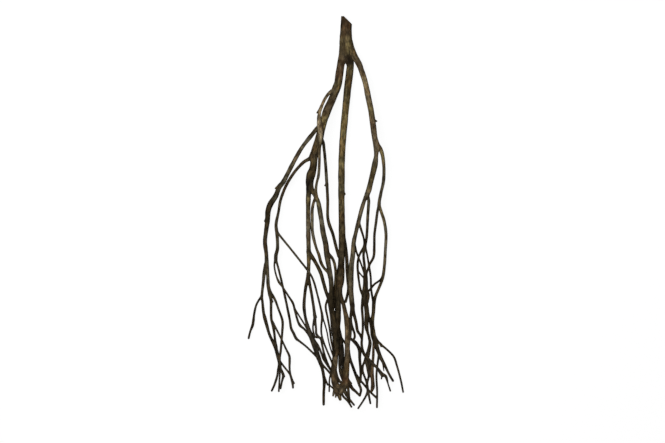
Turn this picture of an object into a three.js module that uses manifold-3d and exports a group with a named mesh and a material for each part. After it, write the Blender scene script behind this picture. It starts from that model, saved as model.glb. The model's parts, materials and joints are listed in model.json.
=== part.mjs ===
// A dry root lying on the ground, grown as one piece.
// A cut crown forks into three limbs, and the limbs branch into long thin roots that spread like a broom.
// Millimetres. +X is the root's right, +Y runs to the cut end, +Z is up and the ground is Z = 0.

import * as THREE from "three";
import { mergeVertices } from "three/addons/utils/BufferGeometryUtils.js";
import Module from "manifold-3d";

// Driving dimensions
const ROOT_LENGTH = 941; // cut end to furthest tip
const CUT_ROW = 16; // photograph row of the cut end
const TIP_ROW = 409; // photograph row of the furthest tip
const PIXEL = ROOT_LENGTH / (TIP_ROW - CUT_ROW); // millimetres to a pixel of the photograph
const RING_STEP = 25; // spacing of a root's rings on its thinnest roots
const RING_STEP_PER_THICKNESS = 0.6; // added to that spacing for each millimetre of thickness
const SIDES = [
  { from: 18, sides: 7 },
  { from: 13.5, sides: 6 },
  { from: 0, sides: 5 },
]; // sides of a root's section, by its greatest thickness
const CUT_BLOCK = 120; // larger than the crown
const BARK_COLOUR = 0x5c4c35;
const BARK_ROUGHNESS = 0.9;

// Each root is a list of points [column, row, height, thickness] along its middle line, from base to tip.
// Column and row are pixels of the photograph. Height above the ground and thickness are millimetres.

// The two saw cuts across the crown, each from its left end to its right one
const CUTS = [
  { left: [340, 15.8], right: [344, 15.8] },
  { left: [343.4, 15.4], right: [352.6, 24.4] },
];

const LIMBS = {
  crown: [[346.6, 8, 11, 26], [346.4, 20, 12.2, 27], [346.1, 29, 14, 27.6], [345.9, 40, 19.5, 28.5],
    [346.6, 51, 26, 28], [348.4, 62.6, 27, 17]],
  leftLimb: [[345, 42, 22, 20], [342.6, 55, 29.5, 18.5], [340.7, 65, 34, 18], [339.2, 75, 38, 18.9],
    [338.1, 83, 41.5, 17.9], [335.8, 90, 45, 19.8], [331.9, 100, 50, 18.1], [327.5, 110, 56, 19.4],
    [324.1, 120, 62, 17.3], [321.6, 129, 67, 17.5], [319, 140, 71, 20], [316, 150, 74, 21],
    [314, 156, 75.5, 20], [313.8, 164, 76, 17], [312.8, 169.5, 76, 18], [311, 175, 75, 21.6],
    [309.8, 181, 74, 19.6], [309.6, 188, 73, 16], [308.6, 196, 71.5, 12], [308.2, 212, 70, 10],
    [308.3, 228, 69, 10.4], [308.6, 245, 68, 10.4], [308.8, 256, 67, 9.9], [308.7, 268, 66, 8.3],
    [308.5, 276, 65.5, 7.9]],
  middleRoot: [[349.4, 50, 25, 18], [350.5, 63, 22, 17], [349.7, 72, 22, 17.6], [347.5, 90, 23, 17.6],
    [345.8, 107, 24.5, 16.4], [343.7, 130, 27, 16], [341.9, 155, 29.5, 15.3], [341.5, 180, 32, 15.4],
    [341.5, 200, 34, 15], [341.8, 220, 36, 15], [342, 235, 38, 15.6], [341.7, 250, 39, 14.4],
    [341.2, 264, 40, 15], [340.6, 273, 41, 19.6], [340.1, 281, 41, 20.4], [338.8, 290, 41, 16.5],
    [338.4, 301, 40, 12], [337.9, 311, 39, 15], [337, 321, 38, 18], [335.9, 331, 37, 17],
    [336, 345, 35, 16.4], [335.2, 358, 33, 13.8], [334.4, 366, 32, 14], [333.4, 371, 31, 14.5],
    [334.6, 381, 30, 15], [336.4, 389, 29, 15], [338.2, 395, 28.5, 9.3]],
  rightLimb: [[349, 42, 21, 15.5], [353.8, 54.5, 29.6, 15.5], [359, 64, 35, 14.4],
    [361.5, 70.5, 38, 13.2], [364, 78, 41, 13], [366.3, 87, 44, 12.8], [368.6, 99, 48, 13.6],
    [371.2, 112, 52, 13.8], [373.1, 126, 55, 14], [374.7, 138, 58, 13.4], [376.3, 146, 59, 14.5],
    [376, 156, 59, 10.2], [374.8, 165, 60, 14.4], [371.7, 178, 62, 12.4], [368.4, 191, 65, 13.2],
    [366.2, 196.5, 67, 11], [364.2, 201, 69, 8.9], [361.9, 208.1, 72, 9.7], [359.1, 219, 75, 9.5],
    [355.7, 233, 77, 8.9], [353.6, 243, 78, 10.3], [352.8, 254, 77, 11], [351.3, 266, 75, 12.6],
    [350.8, 280, 73, 13.4], [351.1, 292, 71, 11.4], [351.9, 303, 69.5, 11.9], [353.6, 313, 68, 7.9],
    [356, 322, 64, 7.1], [357.6, 331, 57, 7.1], [360.2, 335, 52, 6.3], [362.2, 340, 46, 5.3]],
};

const FAR_LEFT_ROOTS = {
  farLeft: [[320.5, 125, 62, 9.3], [316.2, 129.8, 60, 10.2], [312, 134.9, 58, 9.8],
    [302.5, 147.1, 54, 9.3], [294, 161.6, 50, 9.9], [288.3, 172.6, 47, 10.2], [283.2, 182.2, 44, 10.8],
    [279.3, 187.5, 42, 11.4], [275.4, 196.5, 38, 12], [270.5, 204, 34, 14], [268.1, 211, 31, 13.2],
    [267.4, 220, 27, 12.1], [266, 231, 22, 9.9], [264.8, 242, 18, 10], [266.2, 255, 14, 9.2],
    [266.6, 266, 12, 10.4], [267.6, 276, 12, 7.7], [268.1, 286, 13, 8.7], [269.8, 294, 14, 10],
    [270.8, 301, 15, 6.7], [270.9, 312, 17, 6.4], [271.3, 320, 18, 6.4], [273, 326, 19, 7.3],
    [274.2, 334, 19, 5.9], [275, 341, 18, 5.9], [276.4, 348, 17, 6.3]],
  farLeftLow: [[265.4, 265, 12.2, 8.3], [264, 273, 9, 8.1], [263, 283, 5.2, 7.1],
    [262.1, 291, 2.9, 6.4], [261.6, 297.5, 2.5, 6.6], [262.3, 303, 2.8, 6.2], [263.3, 313, 4.5, 6.9],
    [264.7, 319, 6, 8.7], [266.7, 326.1, 8, 7.9], [269.2, 334.8, 11, 6.8], [273.2, 343.3, 14, 7.6],
    [275.5, 348.3, 16, 8.4], [277.9, 357.3, 19, 8.6], [279.1, 364, 21, 6.7], [278, 370, 22, 5.5],
    [277.2, 376, 23, 5.3], [274, 386, 24, 5.3], [271.5, 391.5, 24, 4.8]],
  farLeftTip: [[261.7, 296, 2.8, 5.3], [258.6, 300.6, 4, 5.1], [256, 305.5, 6, 4.9], [254, 314, 9, 5.4],
    [253, 322, 12, 6.2], [252.3, 326, 13, 6.6], [250.2, 331.5, 15, 5.2], [248.3, 339, 17, 4.9]],
  farLeftLong: [[269.6, 292, 14, 6.9], [272.4, 295.8, 17, 6.5], [275, 300.3, 20, 5.7],
    [278.4, 309.5, 26, 5.3], [282.4, 321.2, 33, 6.1], [282.3, 331, 36, 5.9], [281.5, 341, 37, 5.5],
    [280.7, 351, 37, 5.5], [279.7, 358.5, 36, 5.7], [280.5, 368, 35, 5.7], [283.2, 375.5, 35, 6.7],
    [281.7, 382.5, 34, 5.1], [280.5, 389, 33, 4.7]],
  farLeftTwin: [[280.4, 365, 35, 4.7], [279.6, 377, 32, 4.3], [278.7, 392, 28, 4.1]],
  farLeftStray: [[272.4, 322.5, 18.5, 5.7], [276, 329, 22, 4.7], [280.8, 338.4, 27, 4.5],
    [285.8, 348.9, 31, 4.7], [289.3, 356.4, 33, 5.9], [289.6, 360.9, 33, 5.9], [289.5, 368.4, 32, 4.9],
    [290.4, 375, 30, 4.7], [292, 381, 29, 4.7]],
  farLeftHook: [[279, 360.5, 20.5, 5.3], [281.6, 364, 22, 4.7], [285, 368.4, 24, 4.5],
    [290, 375, 28, 4.9], [292.4, 383, 29, 5.9], [293, 388.5, 29, 4.7]],
};

const SECOND_LEFT_ROOTS = {
  secondLeft: [[313, 154.4, 75, 11], [310.1, 158.5, 70, 9.7], [304.2, 162, 62, 7.9],
    [296.2, 170.1, 51, 7], [289.9, 178.9, 41, 7.3], [286.5, 184.9, 36, 7.1], [284, 190.2, 33, 6.9],
    [280.3, 201, 31, 6.8], [278.4, 212, 30, 6.3], [276, 225, 30, 7.5], [276.8, 233, 31, 8.1],
    [277.5, 243, 32, 7.7], [277.4, 249, 33, 8.2], [275.8, 256, 33, 8.9], [276, 260.6, 32.6, 6.7],
    [277.2, 264.4, 31, 5.1], [279.7, 274, 28, 5.1], [283, 288, 26, 5.3], [285.6, 300, 25, 5.6],
    [289.7, 320, 24, 5.7], [291.2, 329, 23, 6.5], [293.5, 333.5, 23, 6.5], [296.2, 339, 23, 6.9],
    [299.6, 341.7, 25, 5.3], [306, 346.7, 31, 4.7], [312.5, 352.7, 38.5, 4.9], [316.6, 356.5, 43, 5.3]],
  secondLeftLoop: [[275.7, 258.5, 33, 7.1], [274.3, 265.5, 36, 4.1], [276.3, 276, 40, 4.1],
    [279, 282.4, 42, 5.7], [282.4, 287, 43, 4.5], [288.8, 296.8, 45, 4.7], [293, 303.5, 47, 5.8],
    [295, 311, 48, 5.3], [298.1, 321.8, 48, 5.5], [300.2, 325.7, 48, 6.9], [304.3, 329.2, 50, 5.3],
    [310.2, 337, 53, 4.7]],
  secondLeftThread: [[294.6, 308.6, 48, 4.1], [299.1, 315.9, 52, 3.8], [303.6, 323, 55, 3.8],
    [308.5, 331.7, 54.4, 3.9]],
  slantRoot: [[276.3, 231, 31, 5.3], [280, 236, 35, 5.1], [290, 248.2, 46, 4.9], [300, 260.7, 58, 4.9],
    [309.3, 272.6, 73, 5.1], [312.5, 278.2, 74, 4.9], [314.6, 284, 73, 5.1], [317.8, 296, 70, 4.7],
    [320.7, 308, 67, 5.1], [322.3, 317, 65, 6.3], [321.4, 325, 64, 4.7], [321.5, 334, 63, 4.5],
    [324, 343, 60, 4.5], [328.4, 354, 52, 4.5], [332, 363, 42, 4.5], [333.4, 369.5, 35, 4.7]],
  slantThread: [[322.2, 316.4, 65, 4.3], [324.2, 322, 66, 3.5], [327, 332, 66, 3.3],
    [328.6, 341, 63, 3.3], [331, 350, 54, 3.5], [333.2, 356.4, 42, 3.7]],
};

const LEFT_LIMB_ROOTS = {
  leftEnd: [[308.5, 274, 65.8, 8.9], [307.4, 280, 65, 8.7], [306, 286, 64, 7.7], [304.6, 297, 62, 6.9],
    [304.1, 307, 60, 7.9], [305.4, 317.4, 58, 6.8], [308, 327, 56, 8.3], [311, 336, 53, 12.6],
    [314.5, 345, 49, 13.6], [317.5, 355, 45, 11.6], [320.2, 362.4, 41, 9.7], [322.5, 370, 36, 7.3],
    [324.2, 382, 29, 7.3], [323.7, 394, 24, 6.5], [323.6, 405.4, 21, 5.9]],
  leftEndTwin: [[308.5, 277, 65.6, 7.3], [309.5, 283, 63.5, 7.3], [311.4, 293, 61.5, 6.6],
    [313.4, 305.4, 60, 6.7], [314.8, 316.5, 59, 7.9], [315.2, 322, 58.4, 6.3], [316, 328, 58, 5.3],
    [316.4, 333.8, 58, 5.5], [318.4, 336.8, 58, 5.9], [320.8, 338.8, 57.6, 5.9],
    [322.5, 346.6, 56, 5.3], [325, 357, 52, 5.7], [329, 367, 43, 5.7], [332.6, 373.4, 35, 5.5]],
  leftEndLoop: [[314.4, 320, 58.6, 6.5], [313, 326.6, 60, 4.1], [313.6, 333, 57.6, 4.3],
    [315.2, 337, 56.6, 4.9], [318, 337.4, 57.8, 4.9]],
  leftEndStrand: [[313.6, 340.4, 52, 5.9], [317, 344, 51.5, 5.5], [319.4, 348.4, 50, 5.3],
    [321.8, 354.4, 46, 5.3], [323.4, 359, 44, 5.3], [327.4, 365.2, 39.5, 5.5], [331.4, 371.2, 34.5, 5.3]],
  leftEndLink: [[320.2, 362, 40.6, 5.7], [323.6, 366.2, 39, 5.1], [327, 370, 37, 5.1],
    [331, 374.6, 34, 5.1], [333.4, 377.4, 32, 5.3]],
  leftEndSpine: [[322.6, 370.4, 35.6, 5.1], [324, 375.6, 36, 4.7], [325.5, 380, 37, 4.7],
    [327.8, 385.4, 38, 4.3]],
  leftEndDrop: [[331, 373.6, 34.6, 4.3], [329.6, 379, 36, 4], [329.2, 392, 36.5, 3.7]],
  leftEndTie: [[329.2, 385, 36.4, 3.9], [333.4, 389, 33, 3.9], [336.4, 391.6, 30, 4.3]],
  leftCross: [[308.6, 251.5, 67.4, 8.6], [311.2, 255.5, 66, 9.5], [316, 263.3, 64, 8.5],
    [320.7, 272.8, 63, 8.7], [323.6, 283, 63, 8.2], [327.2, 295, 64, 7.7], [330.8, 301.6, 63.5, 6.9]],
  leftCrossTail: [[327.4, 294, 64, 6.7], [329, 303, 60, 6.3], [330.4, 311, 56, 6.5],
    [331.5, 319, 50, 6.7], [332, 327, 44, 6.3], [333, 336, 38, 5.9]],
};

const PALE_ROOTS = {
  paleRoot: [[336, 88.6, 48, 8.7], [331, 91.6, 55, 7.5], [327, 96, 58, 7.3], [324, 101, 61, 7.1],
    [321.5, 107, 65, 6.7], [319.6, 113, 69, 7.6], [318.9, 119, 74, 9.4], [319.5, 125, 77, 12],
    [320.3, 131, 79, 13.4], [320.5, 138, 81, 11], [319.6, 150, 84, 6.7], [319.3, 165, 86, 6.5],
    [318.5, 176, 86, 6.5], [316.8, 183, 85, 5.9], [315.9, 190, 84, 6.9], [316.2, 197, 83, 9.9],
    [318.1, 201.6, 82, 10.1], [319.2, 207, 81, 11.3], [321.4, 220, 79, 11.3], [323.2, 233, 77, 13],
    [325.7, 244, 76, 13.2], [327.1, 256, 74, 13.6], [328.4, 264, 73, 11.8], [330.3, 274, 71, 10.8],
    [331.3, 285, 69, 11], [331.3, 293, 67, 11.6], [331.5, 301, 63.5, 10.4], [332.3, 310.5, 57, 10],
    [333.9, 320, 49, 9.9], [334.9, 328, 42, 8.9]],
  paleFork: [[316, 196.6, 83, 6.9], [313.6, 203, 81, 6.5], [312.4, 209, 80, 7.5], [312.2, 220, 78, 7.5],
    [312.2, 229, 76, 7.5], [313.4, 237, 75, 7.5], [316.5, 248.6, 74, 6.3], [318.8, 254.6, 73, 7.1],
    [321.2, 263, 72, 7.5], [324.5, 268.6, 72, 6.5], [328, 272.6, 71.6, 6.7], [330.1, 278.7, 70.6, 6.7]],
  paleCross: [[327.6, 253, 74.4, 7.3], [331, 256.6, 70, 7.3], [333.4, 260.4, 66, 6.9],
    [335, 266, 61, 6.5], [335.6, 274, 55, 6.3], [335.2, 283, 50, 6.3], [334.6, 292, 46, 6.3],
    [334.2, 300, 44, 6.9], [334.4, 308, 42, 6.3]],
  paleBridge: [[310.6, 183.6, 74.4, 9.3], [312.6, 191.2, 79, 11], [315.9, 196.8, 82.6, 8.9]],
  darkRoot: [[319.6, 136, 69, 8.3], [323, 142, 62.5, 7.3], [324.2, 150, 57, 7], [325.6, 165, 51, 7.1],
    [326.6, 180, 46, 7.6], [327.7, 200, 42, 6.9], [327.8, 218, 38, 7.1], [329.4, 225, 36.4, 7.8],
    [332.8, 234, 34, 7.3], [335.6, 245.2, 33, 7.3], [338.8, 257, 36, 7.5]],
  innerThread: [[329.6, 296, 65.6, 5.9], [326.8, 301.6, 64, 5.1], [325.7, 307, 63, 5.1],
    [327.5, 317, 62, 4.9], [329.7, 329, 60, 4.7], [331.3, 341, 56, 4.7], [333, 349.4, 47, 4.7],
    [333.8, 356, 39.5, 4.9]],
};

const RIGHT_LIMB_ROOTS = {
  rightOuter: [[375.8, 143.4, 58.6, 9.3], [379.6, 147.8, 55, 9.9], [381.6, 152.3, 53, 9.5],
    [382.8, 157, 50, 8.4], [384, 170, 45, 7.5], [383.2, 183, 41, 7.7], [380.8, 194, 38, 7.5],
    [379.2, 204.6, 35.6, 7.9], [381, 211, 33, 7.3], [384.3, 221.5, 30, 7.3], [386.1, 234, 26, 7.2],
    [385.5, 250, 21, 7.1], [384.6, 265, 16, 7.3], [382.8, 278, 12, 7.5], [379, 288.5, 8, 6.7],
    [376, 295.5, 5.6, 7.3], [374.2, 301.6, 3.7, 9.4], [373.8, 307, 3.3, 9], [373.5, 313, 3.8, 8.6],
    [372.3, 322, 8, 10], [373, 331, 12, 10.8], [375.4, 339, 14.6, 9.3], [381, 344.9, 14, 5.7],
    [387.6, 350.5, 12, 4.9], [394, 357.4, 10, 5.1], [397.1, 366.3, 9, 4.9], [401.5, 383, 7, 4.7],
    [403.4, 393, 6, 4.3]],
  rightTip: [[375.2, 338, 14.6, 6.9], [377.2, 345.2, 18, 6.1], [378.8, 351.8, 21.4, 7.3],
    [381.2, 358.6, 23.6, 8.3], [384.4, 364.7, 25, 6.9], [389.2, 374.6, 26, 5.5], [393.3, 381.6, 26, 5.5]],
  rightPlumb: [[379.3, 353, 22, 5.7], [377.4, 366, 27, 4.9], [376.5, 376, 30, 4.9],
    [377.2, 392, 31, 4.9], [377, 408, 30, 4.7]],
  rightStake: [[374.6, 337.6, 15, 6.7], [373.7, 345.4, 21, 5.9], [373.2, 358, 31, 6.5],
    [372, 367, 37, 9.3], [371.9, 374, 40.6, 9.3], [372.6, 381, 42, 8.7], [372.8, 387, 42, 9.9],
    [371.4, 392, 41, 5.9]],
  rightRung: [[382.9, 276.8, 12.6, 5.3], [380.2, 280.4, 15, 4.9], [374.5, 284.5, 23, 4.9],
    [371.2, 288.4, 30, 4.9], [366.5, 293.6, 42, 5.3]],
  rightInner: [[379.3, 203.4, 36, 6.1], [377.6, 211, 36, 6.3], [376, 223, 37, 6.3],
    [374.5, 235, 38, 6.1], [374.3, 247, 39, 6.1], [373.6, 257, 41, 6.3], [369.5, 265, 45, 5.3],
    [366, 275, 48, 5.3]],
  rightSecond: [[367, 194, 66, 8.3], [368.6, 200, 64, 7.1], [368.3, 208, 62, 7.2],
    [367.7, 217, 60, 6.8], [366.5, 238, 56, 6.3], [364.7, 246.4, 55, 8.7], [363.5, 255, 53, 5.9],
    [364.6, 267, 50, 6.5], [365.1, 283, 47, 9.9], [364.4, 294, 45, 13], [363.6, 299.6, 44, 11],
    [362.1, 306, 43, 6.3], [362.8, 320, 42, 5.9], [362.8, 330, 42, 5.7], [362, 338, 43, 5.9],
    [361.8, 346, 44, 5.9], [364, 354, 45, 7.5], [369, 360, 43, 6.5], [377, 368, 38, 6.3],
    [382.6, 375, 34, 9.7], [385.4, 376.2, 32, 7.3], [388.4, 385, 26, 3.7], [390.5, 391.6, 22, 4.1]],
  rightSecondTwin: [[366, 272.4, 49, 4.9], [366.6, 277, 48.4, 5.3], [366.9, 283, 47.6, 5.5],
    [367, 289, 47, 5.5], [368.4, 295, 45.6, 6.7], [367.4, 303, 42.4, 5.9]],
  rightThird: [[364.4, 296, 44.4, 8.3], [366.2, 306, 41.5, 10.6], [366.9, 315, 39, 11.4],
    [366.5, 322, 37.6, 10.6], [366.6, 328, 37, 9.3], [367.8, 333, 36, 6.7], [369.2, 338, 35.4, 5.9],
    [369.6, 343, 35, 5.7], [368.1, 350, 36, 5.5], [366.2, 356.4, 38, 6.9], [364.6, 361.6, 39, 5.7],
    [362.9, 366, 39.6, 5.3], [362.7, 371, 40, 5.1], [364, 375.4, 39.6, 5.1], [366.4, 382, 39, 5.1],
    [368.2, 392, 37, 5.7], [370.5, 404, 34, 4.7]],
  rightThirdTwin: [[369, 338, 35.4, 5.3], [370.6, 343, 35, 5.5], [369.4, 350.4, 36.4, 6.5],
    [368.3, 356.6, 38, 6.7], [366.5, 362.2, 39, 6.7], [367.4, 368, 40, 5.7], [368.7, 375, 40.4, 5.3]],
  rightBrace: [[367.8, 314.6, 38.8, 6.9], [370.2, 322, 33, 6.3], [371.4, 329, 26, 6.1],
    [372, 336, 20, 6.1], [374.2, 342.6, 17, 5.9]],
  rightStrut: [[369, 359.6, 42.6, 5.7], [369.4, 368, 41.6, 6.1], [368.8, 376.4, 40.6, 5.5],
    [367.2, 384, 39, 5.3], [367.9, 391, 37.4, 5.3]],
  rightRib: [[374.2, 338, 15, 6.3], [375, 345.6, 18.4, 5.9], [377.2, 350.6, 20.4, 6.3],
    [379.6, 356, 22.6, 6.3]],
  rightThirdTip: [[368, 390.6, 37, 5.3], [365.8, 396.6, 34.6, 4.9], [362.4, 402.4, 32, 4.5],
    [358, 409, 29, 4.3]],
  rightLoop: [[364.8, 246, 55, 5.9], [361.4, 251.4, 51, 5.5], [358.6, 257.4, 48, 5.1],
    [357.6, 266, 45, 5.6], [358.9, 281, 43, 5.1], [361, 291.4, 43.6, 5.5], [364, 297.6, 44, 5.3]],
  rightBow: [[364.8, 245.4, 55, 5.3], [366.5, 252, 54, 4.5], [369, 266, 46, 4.9], [370.7, 277, 35, 4.9],
    [371.3, 290, 20, 5.1], [373.6, 303.4, 7, 5.7]],
  rightTwig: [[358.6, 221.6, 75, 5.7], [361, 229.5, 72, 5.5], [363.6, 238, 64, 4.7], [364.7, 246, 56, 5.3]],
  rightThread: [[353.4, 239, 77.6, 5.3], [355, 246, 74, 5.3], [356.4, 252, 69, 4.7],
    [358.6, 257.8, 64, 4.3], [361, 264, 58, 4.1], [364.4, 274, 50, 4.3]],
  rightStep: [[358.2, 271.6, 44.4, 3.9], [360.4, 274.2, 45, 3.5], [364.4, 278.8, 47, 3.9]],
  rightSpine: [[352.4, 305, 69, 8.3], [351, 313, 65.6, 6.7], [350.6, 320, 63, 6.7],
    [352.2, 327, 60, 5.9], [354.3, 333, 57, 5.5], [354.7, 337, 54.6, 5.3], [352.8, 341, 51, 5.3]],
  rightSpineTwin: [[351.2, 315, 64.8, 5.3], [350.4, 323, 61.6, 5.5], [350.5, 330, 58.6, 6.1],
    [350.2, 336.6, 55.6, 5.9], [348.8, 342, 54.4, 5.3]],
};

const LOWER_TANGLE = {
  brownRoot: [[339.8, 289, 41.6, 7.3], [341.4, 297, 43, 8], [343.4, 304, 44, 9.4],
    [344.9, 311, 45.5, 10.1], [346.7, 320, 50, 12.2], [347.4, 332, 54, 12], [347.2, 352, 55, 12],
    [346.8, 365, 53, 13.2], [345.6, 375, 49, 16.5], [345.2, 383.4, 44.5, 18], [342.6, 389.6, 40, 13],
    [340, 394, 37, 8.3]],
  shadeRoot: [[343, 233, 36.6, 8.3], [344.8, 243, 31, 8.5], [345.9, 251, 27, 8.7],
    [346.8, 260, 24, 8.3], [347.2, 270, 23, 8.3], [347.9, 281, 24, 7.5], [348.5, 289, 27, 6.9],
    [347.2, 296, 33, 6.5], [345.4, 302.5, 40, 6.5]],
  shadeStrand: [[337.6, 325, 36.6, 8.3], [339.4, 333, 31, 9.7], [340.8, 341, 26, 10.4],
    [340.8, 351, 24, 10.4], [339.9, 360, 24.4, 7.4], [339.8, 367, 27, 6.7], [342.4, 376, 34, 7.3],
    [344.2, 381.6, 41, 7.3]],
  shadeTwin: [[339.6, 338, 27.6, 6.3], [342, 348, 22, 8.3], [342.6, 356, 23.4, 8.7],
    [343, 364.6, 30, 8.7], [344, 374.6, 42, 6.3]],
  shadeThread: [[339.8, 366.6, 27, 4.7], [339.4, 371.6, 29, 3.3], [341.6, 378.4, 35, 3.5],
    [343.4, 382.4, 41, 4.3]],
  saddleStrand: [[333.8, 365.6, 32, 8.3], [335.8, 372, 32, 6.7], [337.2, 377, 34, 6.5],
    [339.6, 381.6, 37, 6.7], [343, 383.8, 42, 7.3]],
  shadeLink: [[337.8, 330.6, 34, 5.9], [339.6, 335, 36, 5.1], [342, 338.8, 42, 5.1], [345.8, 344, 51, 5.3]],
  brownSide: [[348, 337, 54, 7.3], [351.4, 339.4, 51, 6.7], [355.4, 342.8, 47, 9.1],
    [358.6, 347.6, 44.4, 8.1], [359.7, 352.4, 43.4, 7.7], [359.7, 358.4, 43, 7.1],
    [360.3, 366, 42, 6.5], [360.8, 375, 41, 6.1], [360.3, 382.6, 41.4, 5.3]],
  brownHook: [[348.4, 351, 54, 7.3], [350, 358.6, 51, 6.7], [354.7, 372, 46, 6.9], [359, 384, 42, 6.7],
    [361, 390, 40, 5.7], [359.9, 396, 38, 4.9]],
  brownSling: [[346.6, 383, 45, 8.3], [350.3, 385.4, 43, 8], [352.4, 388.8, 42, 7.6],
    [355.9, 391.9, 40, 6.2], [359.9, 396.2, 38, 4.9]],
  brownSpur: [[346.6, 378.4, 47, 6.9], [349.6, 381.6, 47, 5.1], [351.6, 384, 47, 4.1]],
  crossRoot: [[357, 375.6, 44.6, 5.1], [360.6, 380.8, 40, 5.1], [364, 384.8, 35, 5.1],
    [369, 391, 30, 5.1], [376.8, 398.4, 30, 5.1]],
  baseSaddle: [[334.4, 382, 30.4, 12], [337.4, 386.4, 32.6, 13], [341.4, 387, 38, 13],
    [345.6, 384.6, 43.6, 12]],
  baseLeft: [[335.8, 386.4, 29.4, 8.3], [334, 392.4, 28, 6.3], [333, 396.4, 27, 4.3]],
  baseStub: [[336.8, 390, 28.8, 7.3], [335.6, 397.8, 26.6, 3.9]],
  baseMiddle: [[337.6, 391, 29, 10], [339.2, 396.2, 27.8, 9.6], [340.4, 400.4, 26.6, 6.5]],
  baseRight: [[343.2, 386.6, 41, 7.3], [345.8, 393.6, 38.6, 8.2], [350, 400.2, 35, 5.3],
    [354.3, 405.6, 32, 4.5]],
  baseFar: [[340.6, 391, 37.6, 6.9], [343.4, 396.8, 36, 5.5], [348, 401.6, 34, 5.1],
    [351.7, 407.6, 31, 4.5]],
  baseProp: [[347.2, 382.6, 44, 7.7], [348.3, 390, 41, 6.3], [349.2, 398.6, 37, 5.3]],
};

// Broken rootlets and buds
const SPURS = {
  paleSpur: [[321.6, 106.6, 65, 5.9], [319.2, 110.4, 66, 4.9], [317, 113.4, 67, 3.9]],
  rightLimbSpur: [[372.8, 120, 53.6, 6.7], [375, 121, 54.6, 5.1], [376.9, 121.5, 55, 3.7]],
  farLeftSpur: [[279.6, 185.4, 42.6, 7.9], [277.3, 187.2, 44, 5.9], [275.3, 188.8, 45, 4.3]],
  farLeftBud: [[267, 219.6, 27, 8.3], [264.5, 221.4, 27.6, 4.9]],
  darkSpur: [[327, 184.4, 45, 5.9], [324.7, 185.8, 45.6, 3.7]],
  middleBud: [[341.8, 192.6, 34, 10], [344.9, 194.4, 36, 5.9]],
  innerSpur: [[270.8, 299, 15, 5.3], [272.8, 302.4, 16, 3.7]],
  hookSpur: [[292, 380.8, 29, 5.3], [294.4, 383.8, 29.6, 3.7]],
  longSpur: [[282.6, 373.6, 35, 5.3], [284.6, 377, 35.6, 3.7]],
  twinSpur: [[314.6, 315, 59, 6.3], [316.5, 317.5, 60, 3.9]],
  outerSpur: [[380.6, 344, 14, 4.9], [381.3, 347.4, 15, 3.5]],
  tipThorn: [[383, 362.8, 25, 4.3], [383.4, 367.4, 26, 3.1], [384, 371.4, 26.6, 2.3]],
  knotThorn: [[382.3, 374.6, 34, 5.3], [381.4, 379.4, 34.6, 3.1]],
};

const ROOTS = {
  ...LIMBS, ...FAR_LEFT_ROOTS, ...SECOND_LEFT_ROOTS, ...LEFT_LIMB_ROOTS, ...PALE_ROOTS, ...RIGHT_LIMB_ROOTS,
  ...LOWER_TANGLE, ...SPURS,
};

const UP = new THREE.Vector3(0, 0, 1);
const wasm = await Module();
wasm.setup();

// A place on the photograph, in millimetres from its corner, with Y upwards
function place([column, row], height = 0) {
  return new THREE.Vector3(column * PIXEL, -row * PIXEL, height);
}

function solidOf(geometry) {
  geometry.deleteAttribute("normal");
  geometry.deleteAttribute("uv");
  const merged = mergeVertices(geometry);
  const vertProperties = new Float32Array(merged.attributes.position.array);
  const triVerts = new Uint32Array(merged.index.array);
  return new wasm.Manifold(new wasm.Mesh({ numProp: 3, vertProperties, triVerts }));
}

// The rings of one root: middle point, direction and thickness, closer together on thinner roots
function ringsOf(points) {
  const curve = new THREE.CatmullRomCurve3(points.map((p) => place(p, p[2])), false, "centripetal");
  const stretches = points.length - 1;
  const rings = [];
  for (let i = 0; i < stretches; i += 1) {
    const [from, to] = [points[i], points[i + 1]];
    const length = place(from, from[2]).distanceTo(place(to, to[2]));
    const pitch = RING_STEP + RING_STEP_PER_THICKNESS * from[3];
    const count = Math.max(1, Math.round(length / pitch));
    const last = i === stretches - 1 ? count : count - 1;
    for (let k = 0; k <= last; k += 1) {
      const share = k / count;
      const t = (i + share) / stretches;
      const thickness = THREE.MathUtils.lerp(from[3], to[3], share);
      rings.push({ middle: curve.getPoint(t), direction: curve.getTangent(t), thickness });
    }
  }
  return rings;
}

// A closed cylinder bent along the rings
function rootGeometry(points) {
  const rings = ringsOf(points);
  const thickest = Math.max(...points.map((p) => p[3]));
  const { sides } = SIDES.find((step) => thickest >= step.from);
  const geometry = new THREE.CylinderGeometry(1, 1, 1, sides, rings.length - 1);
  const position = geometry.attributes.position;
  const vertex = new THREE.Vector3();
  for (let i = 0; i < position.count; i += 1) {
    vertex.fromBufferAttribute(position, i);
    const ring = rings[Math.round((0.5 - vertex.y) * (rings.length - 1))];
    const across = new THREE.Vector3().crossVectors(UP, ring.direction).normalize();
    const over = new THREE.Vector3().crossVectors(ring.direction, across);
    const radius = ring.thickness / 2;
    const moved = ring.middle.clone();
    moved.addScaledVector(over, vertex.x * radius);
    moved.addScaledVector(across, -vertex.z * radius);
    position.setXYZ(i, moved.x, moved.y, moved.z);
  }
  return geometry;
}

// A block whose lower face is one saw cut through the crown
function cutBlock(cut) {
  const left = place(cut.left);
  const along = place(cut.right).sub(left);
  const block = new THREE.BoxGeometry(CUT_BLOCK, CUT_BLOCK, CUT_BLOCK);
  block.translate(0, CUT_BLOCK / 2, 0);
  block.rotateZ(Math.atan2(along.y, along.x));
  block.translate(left.x, left.y, 0);
  return solidOf(block);
}

// The ground, which leaves a small flat spot on each of the three low points that the root rests on
function groundBlock() {
  const size = 4 * ROOT_LENGTH;
  const block = new THREE.BoxGeometry(size, size, size);
  block.translate(0, 0, -size / 2);
  return solidOf(block);
}

function wholeRoot() {
  const tubes = Object.values(ROOTS).map((points) => solidOf(rootGeometry(points)));
  const joined = tubes.reduce((whole, tube) => whole.add(tube));
  const sawn = CUTS.reduce((whole, cut) => whole.subtract(cutBlock(cut)), joined);
  return sawn.subtract(groundBlock());
}

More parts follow.
